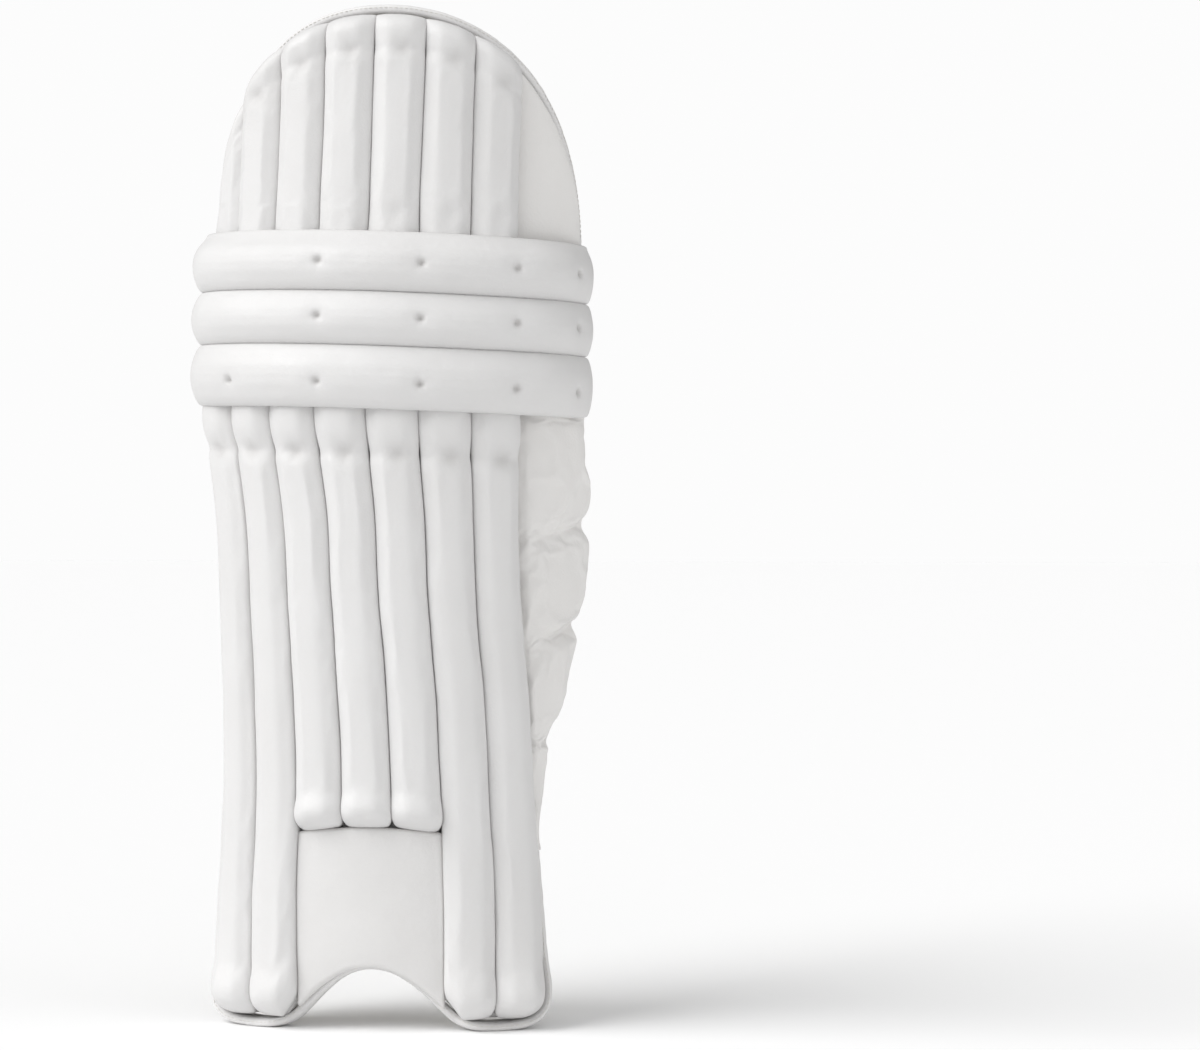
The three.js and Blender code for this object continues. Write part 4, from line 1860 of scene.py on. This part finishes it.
@dataclass
class TopHatSidePanel:
    """The smooth soft panel of the top hat beside its seventh rib."""

    outlines: Outlines
    thickness: float = 8.0
    rim: float = 0.4
    dome_margin: float = 2.0
    start_height: float = 514.0
    crowding: float = 0.7
    wander: float = 0.4

    def layout(self, stock: Vector) -> Vector:
        """Return the flat place of a point of the stock slab.

        Args:
            stock: A point of the stock mesh.

        Returns:
            s, z and n in millimetres.
        """
        lines = self.outlines
        inset = lines.binding_depth + self.dome_margin
        share, up = (stock.x + 1) / 2, (stock.z + 1) / 2
        inner = lines.ribs_half + lines.seam_gap
        outer = lines.dome_crown + lines.dome_outer[0] - inset
        place = share**self.crowding
        first = mix(lines.form.line(inner, self.start_height), outer, place)
        low = lines.over_rolls(first)
        z = mix(low, max(low + 1, lines.dome_top(first, inset)), up)
        s = max(first, mix(lines.form.line(inner, z), outer, place))
        if stock.y < 0:
            return Vector((s, z, FACE_GAP))
        crown = pillow(share, 4.0) * pillow(up, 6.0)
        n = self.thickness * mix(self.rim, 1.0, crown)
        n += self.wander * crown * ripple(71, s / 25, z / 25)
        return Vector((s, z, FACE_GAP + n))

    def pin(self, stock: Vector, flat: Vector) -> float:
        """Return how firmly a point is sewn down."""
        return 1.0 if stock.y < 0.5 or max(abs(stock.x), abs(stock.z)) > 0.97 else 0.0

    def build(self, workshop: Workshop) -> list[bpy.types.Object]:
        """Make the panel.

        Args:
            workshop: Makes the pieces.

        Returns:
            The new objects.
        """
        bm = workshop.slab(24, 40, 3)
        workshop.lay(bm, self.layout, workshop.form.wrap, None, self.pin)
        panel = workshop.piece(
            bm,
            "padded_top_hat_side_panel",
            Slot.SOFT_PANEL,
            [workshop.finishes.plain],
            "top_hat_side_panel",
            fill=0.5,
            filling=Filling(reach=1.0, pressure=3.0),
        )
        return [panel]


@dataclass
class Backings:
    """The two curved sheets: coated leather in front, quilted cotton lining behind."""

    outlines: Outlines
    quilt_pitch: float = 41.0
    quilt_depth: float = 4.4
    quilt_lines: tuple[float, ...] = (-2.5, -1.5, -0.5, 0.5, 1.5, 2.5)
    channel_width: float = 8.0
    seam_width: float = 3.5
    wander: float = 0.4
    edge_fade: float = 14.0
    thread_rise: float = 1.3
    thread: float = 0.42
    stitch: float = 4.4
    stitch_margin: float = 4.0
    front_depth: float = -1.5
    dome_half: float = 150.0

    def _from_channel(self, s: float) -> float:
        """Return how far a place across the lining is from the nearest run of quilting."""
        return min(abs(s - line * self.quilt_pitch) for line in self.quilt_lines)

    def _seam(self, stock: Vector, flat: Vector) -> float:
        """Return how deep in a sewn channel a stock point is, for the painted shade in the lining's channels.
        """
        return bell(self._from_channel(flat.x), self.seam_width) if stock.y < 0 else 0.0

    def _relief(self, s: float, z: float, edge: float) -> float:
        """Return how far the lining's channels swell from the sheet."""
        puff = (1 - bell(self._from_channel(s), self.channel_width)) * self.quilt_depth
        return (puff + self.wander * ripple(81, s / 20, z / 30)) * ease(edge, 0.0, self.edge_fade)

    def _quilting(
        self,
        workshop: Workshop,
        node: str,
        low: Callable[[float], float],
        high: Callable[[float], float],
        bend: Lay,
        steps: int = 40,
    ) -> None:
        """Sew the lining's channels with straight runs of stitches.

        Args:
            workshop: Makes the stitches.
            node: The backing's solid.
            low: Gives the height where a run starts, from its place across.
            high: Gives the height where it ends.
            bend: Gives the place in metres of a flat point.
            steps: Of each run.
        """
        depth = -self.outlines.backing_thickness - self.thread_rise
        paths = []
        for line in self.quilt_lines:
            s = line * self.quilt_pitch
            heights = [mix(low(s), high(s), i / steps) for i in range(steps + 1)]
            paths.append([bend(Vector((s, z, depth))) for z in heights])
        workshop.stitches(paths, self.stitch, f"stitching_{node}", Slot.LINING, radius=self.thread)

    def _finish(self, bm: bmesh.types.BMesh, workshop: Workshop, node: str) -> bpy.types.Object:
        """Give the back faces the lining and the front the facing's leather.

        Args:
            bm: The backing's mesh, which is freed.
            workshop: Makes the piece.
            node: The backing's solid.

        Returns:
            The new object.
        """
        flat = bm.verts.layers.float_vector["flat"]
        for face in bm.faces:
            depth = sum(vert[flat].z for vert in face.verts) / len(face.verts)
            face.material_index = 1 if depth > self.front_depth * MM else 0
        finishes = [workshop.finishes.lining, workshop.finishes.facing]
        return workshop.piece(bm, f"lined_{node}", Slot.LINING, finishes, node, fill=0.3)

    def shin(self, workshop: Workshop) -> bpy.types.Object:
        """Make the shin section's backing.

        Args:
            workshop: Makes the pieces.

        Returns:
            The new object.
        """
        lines = self.outlines
        places = lines.sole_places(8, 8, 20)
        sides = 90
        outline = lines.shin_outline(places, sides)
        inset = lines.binding_depth + lines.seat_gap
        edges = [lines.moved_in(outline, sides + i, inset) for i in range(len(places))]
        columns = len(places) - 1
        top = lines.backing_joint - lines.seat_gap

        def layout(stock: Vector) -> Vector:
            """Return the flat place of a point of the stock slab.

            Args:
                stock: The point, on the front where y is above 0.

            Returns:
                s, z and n in millimetres.
            """
            edge = edges[round((stock.x + 1) / 2 * columns)]
            z = mix(edge.y, top, (stock.z + 1) / 2)
            if stock.y > 0:
                return Vector((edge.x, z, 0.0))
            margin = min(z - edge.y, top - z, lines.half_width - inset - abs(edge.x))
            return Vector((edge.x, z, -lines.backing_thickness - self._relief(edge.x, z, margin)))

        bm = workshop.slab(columns, sides, 1)
        workshop.lay(bm, layout, workshop.form.drape, self._seam)

        def over_sole(s: float) -> float:
            """Return the height where the quilting starts over the sole's tape."""
            return lines.sole_edge(s) + lines.binding_depth + 2 * self.stitch_margin

        def under_joint(s: float) -> float:
            """Return the height where the quilting ends under the backings' joint."""
            return top - self.stitch_margin

        self._quilting(workshop, "shin_backing", over_sole, under_joint, workshop.form.drape)
        return self._finish(bm, workshop, "shin_backing")

    def top_hat(self, workshop: Workshop) -> bpy.types.Object:
        """Make the dome's backing.

        Args:
            workshop: Makes the pieces.

        Returns:
            The new object.
        """
        lines = self.outlines
        inset = lines.binding_depth + lines.seat_gap

        def layout(stock: Vector) -> Vector:
            """Return the flat place of a point of the stock slab.

            Args:
                stock: The point, on the front where y is above 0.

            Returns:
                s, z and n in millimetres.
            """
            edge = lines.dome_edge((stock.x + 1) * math.pi / 2, inset)
            z = mix(lines.backing_joint, edge.y, (stock.z + 1) / 2)
            if stock.y > 0:
                return Vector((edge.x, z, 0.0))
            from_side = (1 - abs(stock.x)) * self.dome_half
            margin = min(edge.y - z, z - lines.backing_joint, from_side)
            return Vector((edge.x, z, -lines.backing_thickness - self._relief(edge.x, z, margin)))

        bm = workshop.slab(104, 44, 1)
        workshop.lay(bm, layout, workshop.form.wrap, self._seam)

        def over_joint(s: float) -> float:
            """Return the height where the quilting starts over the backings' joint."""
            return lines.backing_joint + self.stitch_margin

        def under_dome(s: float) -> float:
            """Return the height where the quilting ends under the dome's tape."""
            return lines.dome_top(s, inset) - 1.25 * self.stitch_margin

        self._quilting(workshop, "top_hat_backing", over_joint, under_dome, workshop.form.wrap)
        return self._finish(bm, workshop, "top_hat_backing")

    def build(self, workshop: Workshop) -> list[bpy.types.Object]:
        """Make both backings."""
        return [self.shin(workshop), self.top_hat(workshop)]


@dataclass
class Bindings:
    """The folded tape round the pad's edges, with its stitching."""

    outlines: Outlines
    width: float = 13.0
    squareness: float = 0.72
    flattening: float = 1.2
    lip: float = 8.0
    lip_heights: Row = (12.0, 55.0)
    pull_along: float = 0.05
    pull_slow: float = 0.04
    stitch: float = 3.6
    stitch_rise: float = 0.15
    stitch_place: float = 0.12
    stitch_floor: float = 0.4
    segments: int = 20
    eased_rounds: int = 26
    dome_steps: int = 170

    def _tape(
        self, workshop: Workshop, node: str, points: Sequence[Vector], bend: Lay, seed: int
    ) -> list[bpy.types.Object]:
        """Make one run of tape along flat points, and its stitches.

        Args:
            workshop: Makes the pieces.
            node: The tape's solid.
            points: The flat path of the tape's middle, in millimetres.
            bend: Gives the place in metres of a flat point.
            seed: Of the tape's small puckers.

        Returns:
            The tape and its two rows of stitches.
        """
        depth = self.outlines.binding_depth
        last = len(points) - 1
        behind = -self.outlines.backing_thickness / 2

        def across_at(i: int) -> Vector:
            """Return the direction square to the path at one of its points."""
            along = (points[min(i + 1, last)] - points[max(i - 1, 0)]).normalized()
            return Vector((along.y, -along.x))

        def layout(stock: Vector) -> Vector:
            """Return the flat place of a point of the stock tube.

            Args:
                stock: The point, on the front where y is above 0.

            Returns:
                s, z and n in millimetres.
            """
            i = round((stock.z + 1) / 2 * last)
            at, square = points[i], across_at(i)
            pull = 1 + self.pull_along * ripple(seed, i * 0.9, stock.y * 0.6)
            pull += self.pull_slow * ripple(seed + 3, i * 0.33, 0.0)
            x = math.copysign(abs(stock.x) ** self.squareness, stock.x)
            y = math.copysign(abs(stock.y) ** self.squareness, stock.y)
            place = at + square * (x * depth / 2 * pull)
            half = self.width / 2 + (self._lip(at) if y > 0 else 0.0)
            return Vector((place.x, max(0.0, place.y), behind + y * half * pull))

        bm = workshop.tube(self.segments, len(points))
        workshop.lay(bm, layout, bend)
        tape = workshop.piece(bm, f"folded_{node}", Slot.TAPE, [workshop.finishes.tape], node)
        made = [tape]
        rise = self.width / 2 + self.stitch_rise
        for side, level in (("front", behind + rise), ("back", behind - rise)):
            path = []
            for i, at in enumerate(points):
                place = at - across_at(i) * (depth * self.stitch_place)
                out = self._lip(at) if side == "front" else 0.0
                path.append(bend(Vector((place.x, max(self.stitch_floor, place.y), level + out))))
            made.append(workshop.stitches([path], self.stitch, f"stitching_{node}_{side}", Slot.TAPE))
        return made

    def _lip(self, at: Vector) -> float:
        """Return how far the tape stands out under the ribs' feet, at a flat point of its path.

        Args:
            at: The point, s and z.

        Returns:
            Millimetres.
        """
        arch = self.outlines.arch_width / 2
        lobe = ease(abs(at.x), arch - 3, arch + 12)
        return self.lip * lobe * (1 - ease(at.y, *self.lip_heights))

    @staticmethod
    def _eased(points: Sequence[Vector], rounds: int) -> list[Vector]:
        """Return a path with its corners eased, by moving each point towards its neighbours.

        Args:
            points: In order.
            rounds: How often to ease them.

        Returns:
            The eased path.
        """
        path = [point.copy() for point in points]
        for _ in range(rounds):
            inner = [(a + b * 2 + c) / 4 for a, b, c in zip(path, path[1:], path[2:])]
            path = [path[0], *inner, path[-1]]
        return path

    def build(self, workshop: Workshop) -> list[bpy.types.Object]:
        """Make both bindings.

        Args:
            workshop: Makes the pieces.

        Returns:
            The new objects.
        """
        lines = self.outlines
        form = lines.form
        middle = lines.binding_depth / 2
        places = lines.sole_places(9, 12, 28)
        sides = 110
        outline = lines.shin_outline(places, sides)
        inner_top = lines.under_rolls(form.line(-lines.half_width, lines.roll_base))
        points = []
        for i, at in enumerate(outline):
            if (at.x < 0 and at.y >= inner_top) or (at.x > 0 and at.y >= lines.wing_low - 1):
                continue
            flat = abs(at.x) > lines.arch_width / 2
            points.append(lines.moved_in(outline, i, middle - (self.flattening if flat else 0.0)))
        points = self._eased(points, self.eased_rounds)
        points.insert(0, Vector((middle - lines.half_width, inner_top)))
        points.append(Vector((lines.half_width - middle, lines.wing_low - lines.seam_gap)))
        made = self._tape(workshop, "shin_binding", points, form.drape, 91)
        starts = []
        for s in (lines.dome_crown - lines.dome_inner[0], lines.dome_crown + lines.dome_outer[0]):
            up = max(0.0, (lines.over_rolls(s) - lines.dome_base) / (lines.dome_rise - middle))
            starts.append(math.asin(up ** (lines.dome_side(s)[1] / 2)))
        steps = self.dome_steps
        turns = [mix(starts[0], math.pi - starts[1], i / steps) for i in range(steps + 1)]
        dome = [lines.dome_edge(turn, middle) for turn in turns]
        return made + self._tape(workshop, "top_hat_binding", dome, form.wrap, 95)


@dataclass
class Strap:
    """One closed strap, sewn inside both edges and passing behind the leg."""

    outlines: Outlines
    name: str
    height: float
    width: float
    right_edge: float
    bow: float
    thickness: float = 3.0
    over_quilting: float = 2.6
    outer_rise: float = 0.4
    patch: float = 44.0
    tuck: float = 0.12
    margin: float = 5.0
    patch_share: float = 0.125
    laid_length: float = 480.0
    edge_thickness: float = 0.78
    box_half: float = 0.4
    box_spans: tuple[Row, Row] = ((0.012, 0.1), (0.9, 0.988))
    stitch: float = 3.4
    stitch_rise: float = 0.1

    def _middle(self, t: float, z: float) -> Vector:
        """Return a point of the strap's middle line, at a share of its run and a height.

        Args:
            t: Share of the strap's run.
            z: The height, in millimetres.

        Returns:
            The point in metres.
        """
        lines = self.outlines
        form = lines.form
        flush = lines.backing_thickness + lines.seat_gap + self.thickness / 2
        inner, outer = -flush - self.over_quilting, -flush - self.outer_rise
        left = form.line(-(lines.ribs_half + lines.edge_margin), z) + self.margin
        right = form.line(self.right_edge, z) - self.margin
        if t <= self.patch_share:
            return form.wrap(Vector((left + self.patch * (1 - t / self.patch_share), z, inner)))
        if t >= 1 - self.patch_share:
            return form.wrap(Vector((right - self.patch * (1 - (1 - t) / self.patch_share), z, outer)))
        start, end = form.wrap(Vector((left, z, inner))), form.wrap(Vector((right, z, outer)))
        pull = self.bow * MM
        first = start + Vector((pull * self.tuck, pull, 0))
        second = end + Vector((-pull * self.tuck, pull, 0))
        u = (t - self.patch_share) / (1 - 2 * self.patch_share)
        v = 1 - u
        return start * v**3 + first * (3 * u * v * v) + second * (3 * u * u * v) + end * u**3

    def _bend(self, flat: Vector) -> Vector:
        """Return the place of a flat point of the strap: its share along, height and depth.

        Args:
            flat: The flat point.

        Returns:
            The point in metres.
        """
        t, z = flat.x, flat.y
        nudge = 1e-3
        along = self._middle(min(1.0, t + nudge), z) - self._middle(max(0.0, t - nudge), z)
        along.z = 0
        along.normalize()
        at = self._middle(t, z)
        half = flat.z * MM
        return Vector((at.x + along.y * half, at.y - along.x * half, z * MM))

    def build(self, workshop: Workshop) -> list[bpy.types.Object]:
        """Make the strap and the box of stitches at each end.

        Args:
            workshop: Makes the pieces.

        Returns:
            The new objects.
        """

        def layout(stock: Vector) -> Vector:
            """Return the flat place of a point of the stock slab.

            Args:
                stock: The point, from -1 to 1 along the strap in x.

            Returns:
                The share along the strap, then the height and the depth in millimetres.
            """
            z = self.height + stock.z * self.width / 2
            half = self.thickness / 2 * mix(1.0, self.edge_thickness, ease(abs(stock.z), 0.9, 1.0))
            return Vector(((stock.x + 1) / 2, z, stock.y * half))

        bm = workshop.slab(128, 12, 2)
        workshop.lay(bm, layout, self._bend)
        flat = bm.verts.layers.float_vector["flat"]
        for vert in bm.verts:
            share, up, out = vert[flat]
            vert[flat] = Vector((share * self.laid_length, up, out))
        strap = workshop.piece(bm, f"woven_{self.name}", Slot.WEBBING, [workshop.finishes.webbing], self.name)
        made = [strap]
        for end, span in zip(("inner", "outer"), self.box_spans):
            name = f"stitching_{self.name}_{end}"
            made.append(workshop.stitches([self._box(span)], self.stitch, name, Slot.WEBBING))
        return made

    def _box(self, span: Row, steps: int = 12) -> list[Vector]:
        """Return the path of a box of stitches on one of the strap's ends.

        Args:
            span: Where the box starts and ends, in shares of the strap's run.
            steps: Along each side of the box.

        Returns:
            Points in metres, outside the strap's face.
        """
        (near, far), half = span, self.box_half
        turns = [(near, -half), (far, -half), (far, half), (near, half), (near, -half)]
        out = self.thickness / 2 + self.stitch_rise
        path = []
        for (t1, up1), (t2, up2) in zip(turns, turns[1:]):
            for i in range(steps):
                t, up = mix(t1, t2, i / steps), mix(up1, up2, i / steps)
                path.append(self._bend(Vector((t, self.height + up * self.width, out))))
        return path


@dataclass
class Straps:
    """The three straps, at the knee, the calf and the ankle."""

    outlines: Outlines
    wing_width: float = SideWing.width
    heights: Row = (392.0, 262.0, 92.0)
    wide: float = 46.0
    narrow: float = 36.0
    long_bow: float = 120.0
    short_bow: float = 90.0
    ankle_rise: float = 2.6

    def _on_wing(self, z: float) -> float:
        """Return where the wing's free edge lies at height z, from the middle.

        Args:
            z: The height, in millimetres.

        Returns:
            Millimetres.
        """
        lines = self.outlines
        share = (z - lines.wing_low) / (lines.backing_joint - lines.seat_gap - lines.wing_low)
        rows = tuple((row[2], row[3]) for row in reversed(WING_ROWS))
        return lines.ribs_half + lines.edge_margin + self.wing_width * read(rows, 1, share)

    def build(self, workshop: Workshop) -> list[bpy.types.Object]:
        """Make the three straps.

        Args:
            workshop: Makes the pieces.

        Returns:
            The new objects.
        """
        lines = self.outlines
        knee, calf, ankle = self.heights
        straps = [
            Strap(lines, name, height, self.wide, self._on_wing(height), self.long_bow)
            for name, height in (("strap_knee", knee), ("strap_calf", calf))
        ]
        straps.append(
            Strap(
                lines,
                "strap_ankle",
                ankle,
                self.narrow,
                lines.ribs_half,
                self.short_bow,
                outer_rise=self.ankle_rise,
            )
        )
        return [piece for strap in straps for piece in strap.build(workshop)]


@dataclass(frozen=True)
class SoftLamp:
    """One far, large and soft lamp."""

    name: str
    toward: Row
    spread: float
    strength: float

    def build(self) -> None:
        """Hang the lamp, shining along its direction."""
        data = bpy.data.lights.new(self.name, "SUN")
        data.angle = math.radians(self.spread)
        data.energy = self.strength
        lamp = bpy.data.objects.new(self.name, data)
        lamp.rotation_euler = Vector(self.toward).to_track_quat("-Z", "Y").to_euler()
        bpy.context.scene.collection.objects.link(lamp)


@dataclass(frozen=True)
class Studio:
    """A plain pale floor, soft light and the camera."""

    floor_size: float = 60.0
    floor_colour: Row = (0.97, 0.97, 0.97)
    sky: float = 0.29
    backdrop: float = 0.975
    camera_place: Row = (0.5703, -2.3873, 0.351)
    camera_turn: float = 10.0
    lens: float = 102.857
    lamps: tuple[SoftLamp, ...] = (
        SoftLamp("key", (0.64, 0.42, -0.64), 50.0, 2.45),
        SoftLamp("front", (-0.17, 1.0, -0.12), 50.0, 0.2),
        SoftLamp("side", (-0.95, 0.3, -0.1), 50.0, 0.55),
        SoftLamp("top", (-0.25, 0.35, -0.9), 90.0, 0.7),
    )

    def build(self) -> None:
        """Set up the studio."""
        self._world()
        self._floor()
        self._camera()
        for lamp in self.lamps:
            lamp.build()
        bpy.context.scene.view_settings.view_transform = "Standard"

    def _world(self) -> None:
        """Light the scene evenly from all round, in front of a bright backdrop."""
        world = bpy.data.worlds.new("studio")
        world.use_nodes = True
        nodes, links = world.node_tree.nodes, world.node_tree.links
        sky = nodes["Background"]
        backdrop = nodes.new("ShaderNodeBackground")
        for background, strength in ((sky, self.sky), (backdrop, self.backdrop)):
            background.inputs["Color"].default_value = (1.0, 1.0, 1.0, 1.0)
            background.inputs["Strength"].default_value = strength
        choice = nodes.new("ShaderNodeMixShader")
        links.new(nodes.new("ShaderNodeLightPath").outputs["Is Camera Ray"], choice.inputs[0])
        links.new(sky.outputs[0], choice.inputs[1])
        links.new(backdrop.outputs[0], choice.inputs[2])
        links.new(choice.outputs[0], nodes["World Output"].inputs["Surface"])
        bpy.context.scene.world = world

    def _floor(self) -> None:
        """Lay the floor."""
        bm = bmesh.new()
        bmesh.ops.create_grid(bm, x_segments=4, y_segments=4, size=self.floor_size / 2)
        mesh = bpy.data.meshes.new("floor")
        bm.to_mesh(mesh)
        bm.free()
        bench = NodeBench("pale_floor")
        bench.shader.inputs["Base Color"].default_value = (*self.floor_colour, 1.0)
        bench.shader.inputs["Roughness"].default_value = 0.9
        bench.shader.inputs["Specular IOR Level"].default_value = 0.1
        mesh.materials.append(bench.material)
        floor = bpy.data.objects.new("floor", mesh)
        bpy.context.scene.collection.objects.link(floor)

    def _camera(self) -> None:
        """Place the camera at the photograph's angle."""
        data = bpy.data.cameras.new("camera")
        data.lens = self.lens
        data.sensor_width = 36.0
        data.sensor_fit = "HORIZONTAL"
        camera = bpy.data.objects.new("camera", data)
        camera.location = self.camera_place
        camera.rotation_euler = (math.pi / 2, 0.0, math.radians(self.camera_turn))
        bpy.context.scene.collection.objects.link(camera)
        bpy.context.scene.camera = camera


def main() -> None:
    """Load the frame, build every sub-assembly and report it."""
    logging.basicConfig(level=logging.INFO, format="%(name)s: %(message)s")
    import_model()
    form = ShinForm()
    outlines = Outlines(form)
    workshop = Workshop(form, Finishes())
    padded: list[bpy.types.Object] = []
    padded += Backings(outlines).build(workshop)
    padded += ShinRibs(outlines).build(workshop)
    padded += TopHatRibs(outlines).build(workshop)
    padded += KneeRolls(outlines).build(workshop)
    padded += InstepPanel(outlines).build(workshop)
    padded += SideWing(outlines).build(workshop)
    padded += TopHatSidePanel(outlines).build(workshop)
    Bindings(outlines).build(workshop)
    Straps(outlines).build(workshop)
    workshop.fill_all()
    workshop.smooth(padded)
    Studio().build()


if __name__ == "__main__":
    main()
